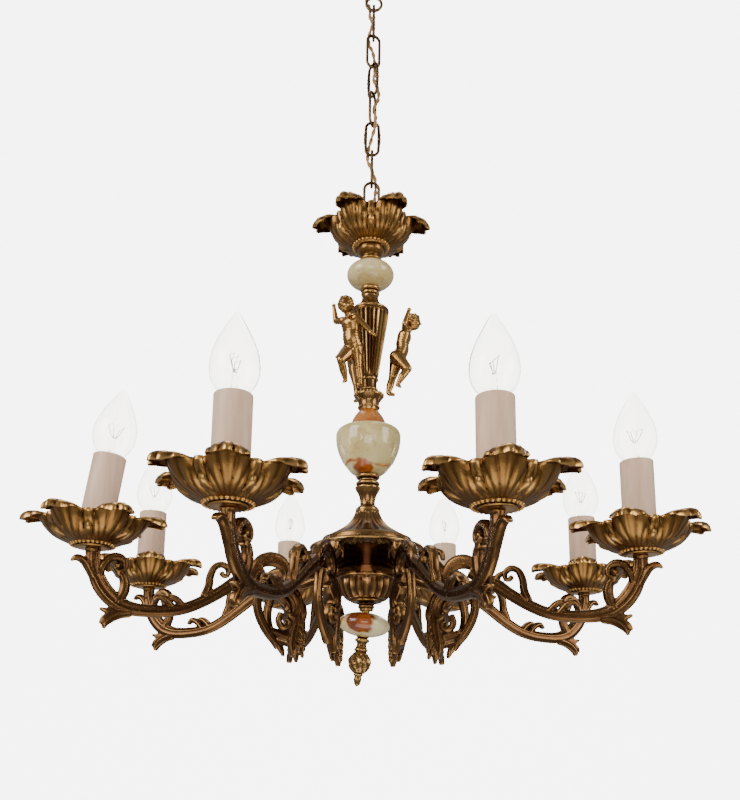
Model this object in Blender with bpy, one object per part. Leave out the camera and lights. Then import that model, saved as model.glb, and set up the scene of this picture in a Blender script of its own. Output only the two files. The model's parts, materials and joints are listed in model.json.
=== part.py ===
"""Eight-arm chandelier of cast brass and onyx, hung on a chain from a ceiling plate.

The origin is the middle of the ceiling plate's flat top face, +Z is up and lengths are in metres.
Heights in the constants and outlines are measured up from the tip of the finial, in millimetres,
because that is how the pieces stack on the central rod. place() moves them under the ceiling.
"""

import math

import bmesh
import bpy
from mathutils import Matrix, Vector

MM = 0.001
GAP = 0.3

# Driving dimensions, in millimetres and degrees.
ARM_COUNT = 8
CEILING = 790.0
CANDLE_CIRCLE_RADIUS = 239.0
FIRST_ARM_ANGLE = 22.5
# How far each arm stands from its even place round the hub, in degrees.
ARM_TURNS = (0.0, 0.0, 0.0, 0.0, 0.0, 0.0, -1.7, 0.0)
ARM_THICKNESS = 9.0
LEANING_ARM = 5
CANDLE_LEAN = 7.0
PAN_BASE = 102.3
SLEEVE_RADIUS = 13.5
SLEEVE_TOP = 181.0
HOLDER_TOP = 178.5
BULB_RADIUS = 17.5
ROD_RADIUS = 5.0
BORE_RADIUS = 5.4
FINIAL_LEAN = 6.0
FINIAL_PIVOT = 72.0
PUTTO_ANGLES = (-123.0, -3.0, 117.0)
LINK_WIRE = 1.5
LINK_LENGTH = 41.0
LINK_WIDTH = 16.0
LOOP_TOP = 504.0
# Plane of the crown loop, of each link from the lowest up, and of the hook's ring.
LINK_TURNS = (0, 90, 180, 245, 310, 375, 450, 540)
# Side of the chain on which the flex passes each contact, from the crown loop up.
FLEX_SIDES = (45, 135, 302.5, 367.5, 432.5, 502.5, 495)
FLEX_RADIUS = 2.0


def material(name, colour, roughness, metallic=0.0, alpha=1.0):
    made = bpy.data.materials.new(name)
    made.use_nodes = True
    shader = made.node_tree.nodes["Principled BSDF"]
    shader.inputs["Base Color"].default_value = (*colour, 1.0)
    shader.inputs["Roughness"].default_value = roughness
    shader.inputs["Metallic"].default_value = metallic
    shader.inputs["Alpha"].default_value = alpha
    made.diffuse_color = (*colour, alpha)
    return made


FINISHES = {
    "brass": ((0.30, 0.17, 0.06), 0.38, 1.0),
    "dark_brass": ((0.14, 0.07, 0.03), 0.42, 1.0),
    "onyx": ((0.70, 0.60, 0.42), 0.25, 0.0),
    "sleeve": ((0.75, 0.55, 0.42), 0.55, 0.0),
    "glass": ((0.95, 0.93, 0.88), 0.03, 0.0, 0.35),
    "steel": ((0.55, 0.55, 0.55), 0.35, 1.0),
    "flex": ((0.28, 0.14, 0.05), 0.6, 0.0),
    "black": ((0.03, 0.03, 0.03), 0.45, 0.0),
}


def clear_scene():
    for obj in list(bpy.data.objects):
        bpy.data.objects.remove(obj)


def place(mesh):
    """Move a mesh from finial-tip millimetres to metres under the ceiling."""
    mesh.transform(Matrix.Scale(MM, 4) @ Matrix.Translation((0, 0, -CEILING)))


def add(name, mesh, finish, turn=0.0):
    """Make the node's object, turned about the central axis."""
    obj = bpy.data.objects.new(name, mesh)
    obj.rotation_euler.z = math.radians(turn)
    bpy.context.collection.objects.link(obj)
    obj.data.materials.append(material(name + "_" + finish, *FINISHES[finish]))
    obj.data.set_sharp_from_angle(angle=math.radians(40))
    return obj


def mesh_of(bm, name):
    bmesh.ops.recalc_face_normals(bm, faces=bm.faces)
    mesh = bpy.data.meshes.new(name)
    bm.to_mesh(mesh)
    bm.free()
    mesh.shade_smooth()
    return mesh


def turned(outline, segments, shape=None):
    """Turn (radius, height) points about Z. The outline runs down the outer side and up the bore.

    shape(angle, index) scales the radius of an outline point, for flutes and lobes. Points on the
    axis close the shape where it has no bore.
    """
    bm = bmesh.new()
    rings = []
    for index, (radius, height) in enumerate(outline):
        if radius == 0:
            rings.append([bm.verts.new((0, 0, height))])
            continue
        ring = []
        for step in range(segments):
            angle = 2 * math.pi * step / segments
            reach = radius * (shape(angle, index) if shape else 1.0)
            ring.append(bm.verts.new((reach * math.cos(angle), reach * math.sin(angle), height)))
        rings.append(ring)
    pairs = list(zip(rings, rings[1:]))
    if outline[0][0] > 0:
        pairs.append((rings[-1], rings[0]))
    for upper, lower in pairs:
        for step in range(segments):
            after = (step + 1) % segments
            corners = [
                upper[step % len(upper)],
                lower[step % len(lower)],
                lower[after % len(lower)],
                upper[after % len(upper)],
            ]
            bm.faces.new(list(dict.fromkeys(corners)))
    return bm


def ball(radius, half_height, centre, bore, steps=7):
    """Outline of a bored ball, flattened to its half height."""
    reach = math.asin(bore / radius)
    outline = []
    for step in range(steps + 1):
        angle = reach + (math.pi - 2 * reach) * step / steps
        outline.append((radius * math.sin(angle), centre + half_height * math.cos(angle)))
    return outline


def tube(points, radius, sides, closed):
    """Sweep a round section along points that all lie in one vertical plane or curve gently."""
    bm = bmesh.new()
    rings = []
    count = len(points)
    for index, point in enumerate(points):
        before = points[index - 1] if closed or index else points[0]
        after = points[(index + 1) % count] if closed or index < count - 1 else points[-1]
        along = (after - before).normalized()
        side = along.cross(Vector((0, 1, 0))).normalized()
        up = side.cross(along)
        ring = []
        for step in range(sides):
            angle = 2 * math.pi * (step + 0.5) / sides
            ring.append(bm.verts.new(point + radius * (math.cos(angle) * side + math.sin(angle) * up)))
        rings.append(ring)
    for index in range(count if closed else count - 1):
        lower = rings[index]
        upper = rings[(index + 1) % count]
        for step in range(sides):
            after = (step + 1) % sides
            bm.faces.new((lower[step], lower[after], upper[after], upper[step]))
    if not closed:
        bm.faces.new(rings[0])
        bm.faces.new(rings[-1])
    return bm


def oval(length, width, bottom, arc_steps=5):
    """Centre line of a chain link's wire: two half circles joined by straight legs."""
    radius = width / 2 - LINK_WIRE
    low = bottom + LINK_WIRE + radius
    high = bottom + length - LINK_WIRE - radius
    points = []
    for centre, start in ((high, 0.0), (low, math.pi)):
        for step in range(arc_steps + 1):
            angle = start + math.pi * step / arc_steps
            points.append(Vector((radius * math.cos(angle), 0, centre + radius * math.sin(angle))))
    return points


def combine(first, second, operation):
    """One mesh from two that overlap: both together, or the first without the second."""
    objects = [bpy.data.objects.new("operand", mesh) for mesh in (first, second)]
    for obj in objects:
        bpy.context.collection.objects.link(obj)
    boolean = objects[0].modifiers.new("combine", "BOOLEAN")
    boolean.operation = operation
    boolean.solver = "EXACT"
    boolean.object = objects[1]
    graph = bpy.context.evaluated_depsgraph_get()
    result = bpy.data.meshes.new_from_object(objects[0].evaluated_get(graph))
    for obj in objects:
        bpy.data.objects.remove(obj)
    return result


# ---- The ceiling fitting ----

PLATE_THICKNESS = 3.0
CANOPY_BOTTOM = 752.0


def make_ceiling_fitting():
    plate = [(0, CEILING), (30, CEILING), (30, CEILING - PLATE_THICKNESS), (0, CEILING - PLATE_THICKNESS)]
    mesh = mesh_of(turned(plate, 24), "ceiling_plate")
    place(mesh)
    add("ceiling_plate", mesh, "steel")

    outer = [(48, CEILING - GAP), (48, 785), (44, 776), (34, 768), (24, 762), (18, 756), (16, CANOPY_BOTTOM)]
    inner = [(3, CANOPY_BOTTOM), (3, 754), (15, 754), (17, 758), (23, 764), (33, 770), (42.5, 778)]
    bell = mesh_of(turned(outer + inner + [(46.2, 786), (46.2, CEILING - GAP)], 20), "ceiling_canopy")
    hole = mesh_of(turned([(0, 757), (3.2, 757), (3.2, 749), (0, 749)], 12), "flex_hole")
    hole.transform(Matrix.Translation((10, 0, 0)))
    canopy = combine(bell, hole, "DIFFERENCE")
    canopy.transform(Matrix.Rotation(math.radians(FLEX_SIDES[-1]), 4, "Z"))
    place(canopy)
    add("ceiling_canopy", canopy, "brass")

    block = bmesh.new()
    bmesh.ops.create_cube(block, size=1.0, matrix=Matrix.Diagonal((12, 22, 12, 1)))
    bmesh.ops.bevel(block, geom=block.edges[:], offset=1.0, segments=1, affect="EDGES")
    mesh = mesh_of(block, "terminal_block")
    mesh.transform(Matrix.Translation((-20, 0, 779)))
    place(mesh)
    add("terminal_block", mesh, "black")

    ring_radius = 8.0
    ring_centre = link_bottom(LINK_COUNT + 1) + LINK_WIRE + ring_radius
    ring = []
    for step in range(16):
        angle = 2 * math.pi * (step + 0.5) / 16
        ring.append(Vector((ring_radius * math.cos(angle), 0, ring_centre + ring_radius * math.sin(angle))))
    shank_outline = [(0, CEILING - PLATE_THICKNESS - GAP), (2.5, CEILING - PLATE_THICKNESS - GAP)]
    shank_outline += [(2.5, CANOPY_BOTTOM - GAP), (6, CANOPY_BOTTOM - GAP), (6, 748), (2.5, 745)]
    shank_outline += [(2.5, ring_centre + ring_radius - 0.5), (0, ring_centre + ring_radius - 0.5)]
    shank = mesh_of(turned(shank_outline, 10), "shank")
    hook = combine(shank, mesh_of(tube(ring, LINK_WIRE, 6, True), "ring"), "UNION")
    place(hook)
    add("ceiling_hook", hook, "dark_brass", LINK_TURNS[-1])


# ---- The chain and the flex ----

LINK_PITCH = LINK_LENGTH - 4 * LINK_WIRE - GAP
LINK_COUNT = 6


def link_bottom(number):
    """Height of a link's lowest point; link 1 hangs in the crown loop, whose top is LOOP_TOP."""
    return LOOP_TOP - 4 * LINK_WIRE - GAP + (number - 1) * LINK_PITCH


def make_chain():
    for number in range(1, LINK_COUNT + 1):
        bottom = link_bottom(number)
        mesh = mesh_of(tube(oval(LINK_LENGTH, LINK_WIDTH, bottom), LINK_WIRE, 6, True), "link")
        place(mesh)
        add(f"chain_link_{number}", mesh, "dark_brass", LINK_TURNS[number])


def around(side, radius, height):
    angle = math.radians(side)
    return Vector((radius * math.cos(angle), radius * math.sin(angle), height))


def flex_route():
    """Points that the flex passes, from the rod's mouth to the terminal block."""
    beside = 5.7
    straight = 5.5
    route = [around(0, 0, 434.4), around(0, 0, 446), around(FLEX_SIDES[0], 2.0, 466)]
    contacts = [LOOP_TOP - 2 * LINK_WIRE - GAP / 2 + index * LINK_PITCH for index in range(7)]
    for index, (side, height) in enumerate(zip(FLEX_SIDES, contacts)):
        route += [around(side, beside, height - straight), around(side, beside, height + straight)]
        if index < len(contacts) - 1:
            turn = FLEX_SIDES[index + 1] - side
            near = 1.5 if abs(turn) < 120 else 0.8
            route.append(around(side + turn / 2, near, height + LINK_PITCH / 2))
    last = FLEX_SIDES[-1]
    route += [around(last, 11, 726), around(last, 10, 744), around(last, 10, 756)]
    route += [Vector((-12, 8, 762)), Vector((-18, 5.5, 765.5)), Vector((-20, 4, 770)), Vector((-20, 4, 772.7))]
    return route


def smooth_curve(points, spacing):
    """Evenly enough spaced points on a smooth curve through the given ones."""
    ends = [2 * points[0] - points[1]] + points + [2 * points[-1] - points[-2]]
    result = []
    for a, b, c, d in zip(ends, ends[1:], ends[2:], ends[3:]):
        steps = max(1, round((c - b).length / spacing))
        for step in range(steps):
            t = step / steps
            result.append(
                0.5 * (2 * b + (c - a) * t + (2 * a - 5 * b + 4 * c - d) * t**2 + (3 * b - a - 3 * c + d) * t**3)
            )
    return result + [points[-1]]


def make_flex():
    points = smooth_curve(flex_route(), 9.0)
    curve = bpy.data.curves.new("flex_cable", "CURVE")
    curve.dimensions = "3D"
    curve.bevel_depth = FLEX_RADIUS * MM
    curve.bevel_resolution = 2
    curve.use_fill_caps = True
    spline = curve.splines.new("POLY")
    spline.points.add(len(points) - 1)
    for target, point in zip(spline.points, points):
        target.co = (point.x * MM, point.y * MM, (point.z - CEILING) * MM, 1.0)
    obj = bpy.data.objects.new("flex_cable", curve)
    bpy.context.collection.objects.link(obj)
    curve.materials.append(material("flex_cable_finish", *FINISHES["flex"]))


# ---- The column, from the crown down ----


def make_crown_loop():
    arch_radius = 7.2
    top = LOOP_TOP - LINK_WIRE - arch_radius
    legs = [Vector((arch_radius, 0, 436)), Vector((arch_radius, 0, 460))]
    arch = []
    for step in range(9):
        angle = math.pi * step / 8
        arch.append(Vector((arch_radius * math.cos(angle), 0, top + arch_radius * math.sin(angle))))
    path = legs + arch + [Vector((-arch_radius, 0, 460)), Vector((-arch_radius, 0, 436))]
    boss_outline = [(10, 440), (10, 424), (BORE_RADIUS, 424), (BORE_RADIUS, 434), (3.2, 434), (3.2, 440)]
    boss = mesh_of(turned(boss_outline, 12), "boss")
    loop = combine(boss, mesh_of(tube(path, LINK_WIRE, 6, False), "arch"), "UNION")
    place(loop)
    add("crown_loop", loop, "dark_brass", LINK_TURNS[0])


def lobes(count, depths):
    """A shape function that pushes each outline point out and in around the circle."""
    return lambda angle, index: 1 + depths[index] * math.cos(count * angle)


def make_crown_cup():
    lip = [(36, 461), (43, 465), (48, 457), (43, 458), (38, 455)]
    lip_depths = [0.06, 0.13, 0.15, 0.13, 0.06]
    outer = [(35, 448), (31, 441), (24, 436), (18, 434.5), (16, 431), (17, 426), (11, 414.4)]
    inner = [(BORE_RADIUS, 414.4), (BORE_RADIUS, 423.7), (12, 423.7), (13, 434), (20, 438.5), (27, 442.5)]
    inner += [(31.5, 449), (33.4, 455)]
    depths = lip_depths + [0.04, 0.02] + [0] * 11 + [0.02, 0.04]
    mesh = mesh_of(turned(lip + outer + inner, 24, lobes(6, depths)), "crown_cup")
    place(mesh)
    add("crown_cup", mesh, "brass", -90 + 30)


def make_plain_stack():
    """Turned pieces with no flutes or lobes, threaded on the central rod."""
    bore = BORE_RADIUS
    add_turned("onyx_ball", ball(23, 14, 400, bore), 20, "onyx")
    collar = [(10.2, 386.9), (10.2, 381), (8.6, 377.4), (bore, 377.4), (bore, 385.9)]
    add_turned("ball_collar", collar, 16, "brass")
    ring = [(7.4, 277.2), (9, 276), (13.6, 274.5), (14.2, 271.6), (13.6, 268.6), (10, 267.4)]
    ring += [(9.6, 262), (8.6, 259.2), (bore, 259.2), (bore, 277.2)]
    add_turned("figure_ring", ring, 18, "brass")
    urn = [(8.8, 258.8), (11, 256), (15.2, 250), (17.4, 244.6), (19.5, 241.5), (26.5, 239), (29.6, 235.5)]
    urn += [(30.2, 229), (28.4, 219), (24, 208.5), (17.5, 199.5), (11.8, 195.6), (bore, 195.6), (bore, 258.8)]
    add_turned("onyx_urn", urn, 20, "onyx")
    baluster = [(11.6, 195.2), (11.6, 192.4), (8.2, 191), (8.2, 188.6), (10, 187.6), (10, 185.6)]
    baluster += [(11.8, 184), (11.4, 181.6), (7.8, 175), (6.7, 168), (8, 164), (11, 161.3)]
    baluster += [(bore, 161.3), (bore, 195.2)]
    add_turned("baluster", baluster, 16, "brass")
    hub = [(15.5, 128), (15.5, 107), (20.5, 106.8), (20.5, 99.9), (bore, 99.9), (bore, 128)]
    add_turned("arm_hub", hub, 20, "dark_brass")
    bowl = [(25, 99.5), (25.2, 96), (24.4, 89), (21.8, 82), (18.5, 77), (9, 75.6), (6.4, 75), (6.4, 68.2)]
    add_turned("hub_bowl", bowl + [(bore, 68.2), (bore, 99.5)], 18, "brass")
    rod = [(ROD_RADIUS, 433.6), (ROD_RADIUS, 79), (3, 79), (3, 433.6)]
    add_turned("central_rod", rod, 12, "steel")


def add_turned(name, outline, segments, finish, shape=None, lean=0.0):
    mesh = mesh_of(turned(outline, segments, shape), name)
    pivot = Matrix.Translation((0, 0, FINIAL_PIVOT))
    mesh.transform(pivot @ Matrix.Rotation(math.radians(lean), 4, "Y") @ pivot.inverted())
    place(mesh)
    return add(name, mesh, finish)


def flutes(count, depths):
    """Alternate segments stand in from the surface, which cuts a flute between each two ribs."""
    return lambda angle, index: 1 - depths[index] * (0.5 - 0.5 * math.cos(count * angle))


def make_fluted_vase():
    vase = [(7.9, 377.1), (8.2, 374), (11, 368), (16.5, 362.5), (18.2, 360), (18, 354), (15.2, 337)]
    vase += [(11.4, 312), (8.2, 291), (7.4, 287), (7.4, 277.6), (BORE_RADIUS, 277.6), (BORE_RADIUS, 377.1)]
    depths = [0, 0, 0, 0, 0, 0.08, 0.1, 0.12, 0.08, 0, 0, 0, 0]
    add_turned("fluted_vase", vase, 40, "brass", flutes(20, depths))


def make_body_cover():
    outer = [(11, 160.9), (12.4, 156), (17, 147.5), (25, 139.5), (35, 132), (35.6, 127)]
    outer += [(52.5, 124.8), (52.5, 123.8)]
    inner = [(33.5, 125.6), (31, 132), (16.5, 144), (11, 153), (BORE_RADIUS, 153)]
    depths = [0, 0.05, 0.07, 0.06, 0, 0, 0, 0, 0, 0, 0, 0, 0, 0]
    cover = outer + inner + [(BORE_RADIUS, 160.9)]
    add_turned("body_cover", cover, 44, "brass", flutes(22, depths))


def make_leaning_finial():
    """The onyx disc and the finial hang a few degrees out of line with the column."""
    add_turned("onyx_disc", ball(23.5, 11, 55.5, 4.5), 20, "onyx", lean=FINIAL_LEAN)
    finial = [(0, 76), (3.8, 76), (3.8, 46.2), (4.6, 43.8), (6.2, 43.5), (6.4, 39), (4.8, 36.5), (6.3, 33)]
    finial += [(5.4, 30.6), (9, 26), (10.6, 20.5), (8.6, 15), (4.2, 11), (3.4, 5), (2.4, 0.8), (0, 0)]
    add_turned("finial", finial, 14, "brass", lean=FINIAL_LEAN)


# ---- The figures round the vase ----

# Joints of the figure: distance out from the column, sideways, height; then the limb's radius.
FIGURE = {
    "heel": ((19.0, 2.0, 276.5), 1.9),
    "ankle": ((19.4, 2.0, 281.0), 1.9),
    "knee": ((22.5, 2.5, 295.0), 3.0),
    "hip": ((26.0, 1.5, 312.0), 5.4),
    "waist": ((28.5, 0.0, 322.0), 6.0),
    "chest": ((34.0, 0.0, 335.0), 7.0),
    "neck": ((38.0, 0.0, 342.5), 3.2),
    "head": ((41.5, 0.0, 349.5), 6.8),
    "crown": ((42.5, 0.0, 354.5), 4.0),
    "bent_knee": ((37.0, -8.0, 298.0), 3.4),
    "bent_foot": ((27.0, -8.5, 283.0), 2.0),
    "right_shoulder": ((36.0, -7.5, 339.5), 3.0),
    "right_elbow": ((34.0, -16.5, 341.0), 2.2),
    "right_hand": ((38.0, -16.0, 356.0), 2.0),
    "left_shoulder": ((34.0, 7.5, 338.5), 3.0),
    "left_elbow": ((31.0, 14.5, 329.5), 2.2),
    "left_hand": ((28.0, 21.0, 320.5), 2.0),
}
FIGURE_BONES = (
    "heel ankle",
    "ankle knee",
    "knee hip",
    "hip waist",
    "waist chest",
    "chest neck",
    "neck head",
    "head crown",
    "hip bent_knee",
    "bent_knee bent_foot",
    "chest right_shoulder",
    "right_shoulder right_elbow",
    "right_elbow right_hand",
    "chest left_shoulder",
    "left_shoulder left_elbow",
    "left_elbow left_hand",
)


FIGURE_VOXEL = 1.5
FIGURE_SHARE = 0.1


def make_figures():
    names = list(FIGURE)
    bones = [tuple(names.index(end) for end in bone.split()) for bone in FIGURE_BONES]
    skeleton = bpy.data.meshes.new("figure")
    skeleton.from_pydata([FIGURE[name][0] for name in names], bones, [])
    obj = bpy.data.objects.new("figure", skeleton)
    bpy.context.collection.objects.link(obj)
    skin = obj.modifiers.new("skin", "SKIN")
    for name, vertex in zip(names, skeleton.skin_vertices[0].data):
        radius = FIGURE[name][1]
        vertex.radius = (radius, radius)
        vertex.use_root = name == "chest"
    skin.use_smooth_shade = True
    subdivision = obj.modifiers.new("round", "SUBSURF")
    subdivision.levels = subdivision.render_levels = 1
    fuse = obj.modifiers.new("fuse", "REMESH")
    fuse.mode = "VOXEL"
    fuse.voxel_size = FIGURE_VOXEL
    thin = obj.modifiers.new("thin", "DECIMATE")
    thin.ratio = FIGURE_SHARE
    graph = bpy.context.evaluated_depsgraph_get()
    body = bpy.data.meshes.new_from_object(obj.evaluated_get(graph))
    bpy.data.objects.remove(obj)
    place(body)
    for number, angle in enumerate(PUTTO_ANGLES, start=1):
        add(f"putto_{number}", body.copy(), "brass", angle)


# ---- The arms and what stands on them ----

# Side view of one casting as (distance from the axis, height), round its edge from the stem's top.
ARM_OUTLINE = (
    # Outer leaf and the back of the riser.
    ((244.5, 102), (246, 97), (251, 96), (255.5, 92.5), (253.5, 90.3), (247.5, 90), (242.5, 85), (240, 77))
    + ((235, 69.5), (228.5, 63.5))
    # Spur and tail under the elbow.
    + ((223.5, 59), (222.5, 56), (225, 53.8), (229.5, 55), (230.5, 52.5), (227.5, 48), (229, 43), (226, 38))
    + ((222.5, 38.5), (221.5, 42), (218, 45.5), (210, 48.5))
    # Underside of the sweep, in to the hanging leaf.
    + ((198, 49.5), (188, 49.5), (176, 51), (166, 54.5), (156, 60), (146, 66), (136, 72), (124, 79))
    + ((112, 80.5), (103, 77))
    # Hanging leaf with its two points.
    + ((98, 71), (97, 61), (92, 51), (86.5, 42), (85, 33), (82.5, 31), (79, 35), (76.5, 42), (73.5, 33))
    + ((72, 26), (69, 22.5), (66, 27), (63.5, 35), (60.5, 46), (60, 56), (55.5, 63), (53.5, 72), (54.5, 82))
    # Underside of the foot, which is screwed to the hub.
    + ((52, 90), (42, 94.5), (30, 98.5), (25.8, 99.9), (20.9, 99.9), (20.9, 107.1), (15.9, 107.1))
    + ((15.9, 123.4), (30, 123.4), (50, 122.8))
    # Curl outside the cover's brim, the arch and the second curl.
    + ((57, 122.4), (66, 125), (73, 122), (75.5, 113), (84, 113.5), (92, 114.5), (100, 112.5), (108, 106))
    + ((116, 98), (123, 97), (129, 100.5), (136, 102), (141.5, 98), (142.5, 92), (140, 86))
    # Top of the sweep, with a low leaf on it.
    + ((148, 80), (157, 73.5), (166, 67.5), (172, 66.5), (177, 71), (183, 70.5), (188, 64), (197, 60.5))
    + ((204, 62.5), (208, 68))
    # The two scrolls inside the riser.
    + ((207.5, 74), (208, 81), (211, 85.5), (209.5, 90), (211, 96), (216, 100), (222, 101.5), (233.5, 101.8))
)


def arm_angle(number):
    return FIRST_ARM_ANGLE + (number - 1) * 360 / ARM_COUNT + ARM_TURNS[number - 1]


def casting():
    bm = bmesh.new()
    half = ARM_THICKNESS / 2
    corners = [bm.verts.new((x, -half, z)) for x, z in ARM_OUTLINE]
    side = bm.faces.new(corners)
    pulled = bmesh.ops.extrude_face_region(bm, geom=[side])
    moved = [item for item in pulled["geom"] if isinstance(item, bmesh.types.BMVert)]
    bmesh.ops.translate(bm, verts=moved, vec=(0, ARM_THICKNESS, 0))
    bmesh.ops.triangulate(bm, faces=[face for face in bm.faces if len(face.verts) > 4])
    return mesh_of(bm, "casting")


def lean_matrix(lean):
    """Tilt about the pan's base, towards the column."""
    foot = Matrix.Translation((CANDLE_CIRCLE_RADIUS, 0, PAN_BASE + 12))
    return foot @ Matrix.Rotation(math.radians(-lean), 4, "Y") @ foot.inverted()


def holder(lean):
    """Nipple from the stem up through the pan, with the lampholder on it."""
    pipe = [(0, 114), (4.2, 114), (4.2, 96), (0, 96)]
    nipple = mesh_of(turned(pipe, 10), "nipple")
    nipple.transform(Matrix.Translation((CANDLE_CIRCLE_RADIUS, 0, 0)))
    # The cup's bore is closed at the bottom, so a solid base and a tube are joined.
    bottom = turned([(0, 152), (10, 152), (10, 113), (0, 112)], 12)
    top = turned([(10, HOLDER_TOP), (10, 150), (7.6, 150), (7.6, HOLDER_TOP)], 12)
    cup = combine(mesh_of(bottom, "cup_bottom"), mesh_of(top, "cup_top"), "UNION")
    cup.transform(lean_matrix(lean) @ Matrix.Translation((CANDLE_CIRCLE_RADIUS, 0, 0)))
    return combine(nipple, cup, "UNION")


def candle_part(name, number, outline, segments, finish, lean=0.0, shape=None):
    mesh = mesh_of(turned(outline, segments, shape), name)
    mesh.transform(lean_matrix(lean) @ Matrix.Translation((CANDLE_CIRCLE_RADIUS, 0, 0)))
    place(mesh)
    add(f"{name}_{number}", mesh, finish, arm_angle(number))


def make_arms():
    lip = [(37, 129), (45.5, 131), (49, 125.5), (41, 126)]
    outer = [(34, 117), (19.5, 107.5), (17, PAN_BASE)]
    inner = [(4.8, PAN_BASE), (4.8, 106), (16, 107), (31.6, 119)]
    depths = [0.07, 0.14, 0.16, 0.09, 0.02] + [0] * 5 + [0.02]
    sleeve = [(SLEEVE_RADIUS, SLEEVE_TOP), (SLEEVE_RADIUS, 110), (12.2, 110), (12.2, SLEEVE_TOP)]
    glass = [(0, 243), (2.4, 240), (8.5, 228), (15.4, 212), (BULB_RADIUS, 200), (14.8, 188)]
    glass += [(9.4, 181), (7.1, 178.8), (7.1, 154.5), (0, 154)]
    for number in range(1, ARM_COUNT + 1):
        lean = CANDLE_LEAN if number == LEANING_ARM else 0.0
        arm = combine(casting(), holder(lean), "UNION")
        place(arm)
        add(f"arm_{number}", arm, "brass", arm_angle(number))
        candle_part("drip_pan", number, lip + outer + inner, 18, "brass", shape=lobes(6, depths))
        candle_part("candle_sleeve", number, sleeve, 12, "sleeve", lean)
        candle_part("bulb", number, glass, 10, "glass", lean)


clear_scene()
make_ceiling_fitting()
make_chain()
make_flex()
make_crown_loop()
make_crown_cup()
make_plain_stack()
make_fluted_vase()
make_body_cover()
make_leaning_finial()
make_figures()
make_arms()
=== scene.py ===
# %% [markdown]
# # A chandelier of cast brass and onyx
# The chandelier hangs from a chain: eight scrolled arms with leafy pans stand round a hub, under a
# column of turned brass, fluted brass and onyx with three small figures. Its working model is loaded
# first as a fixed frame. Each piece is then modelled in full round that frame and rides on one of its
# bodies, so that the chain still swings and the bulbs still unscrew.

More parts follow.
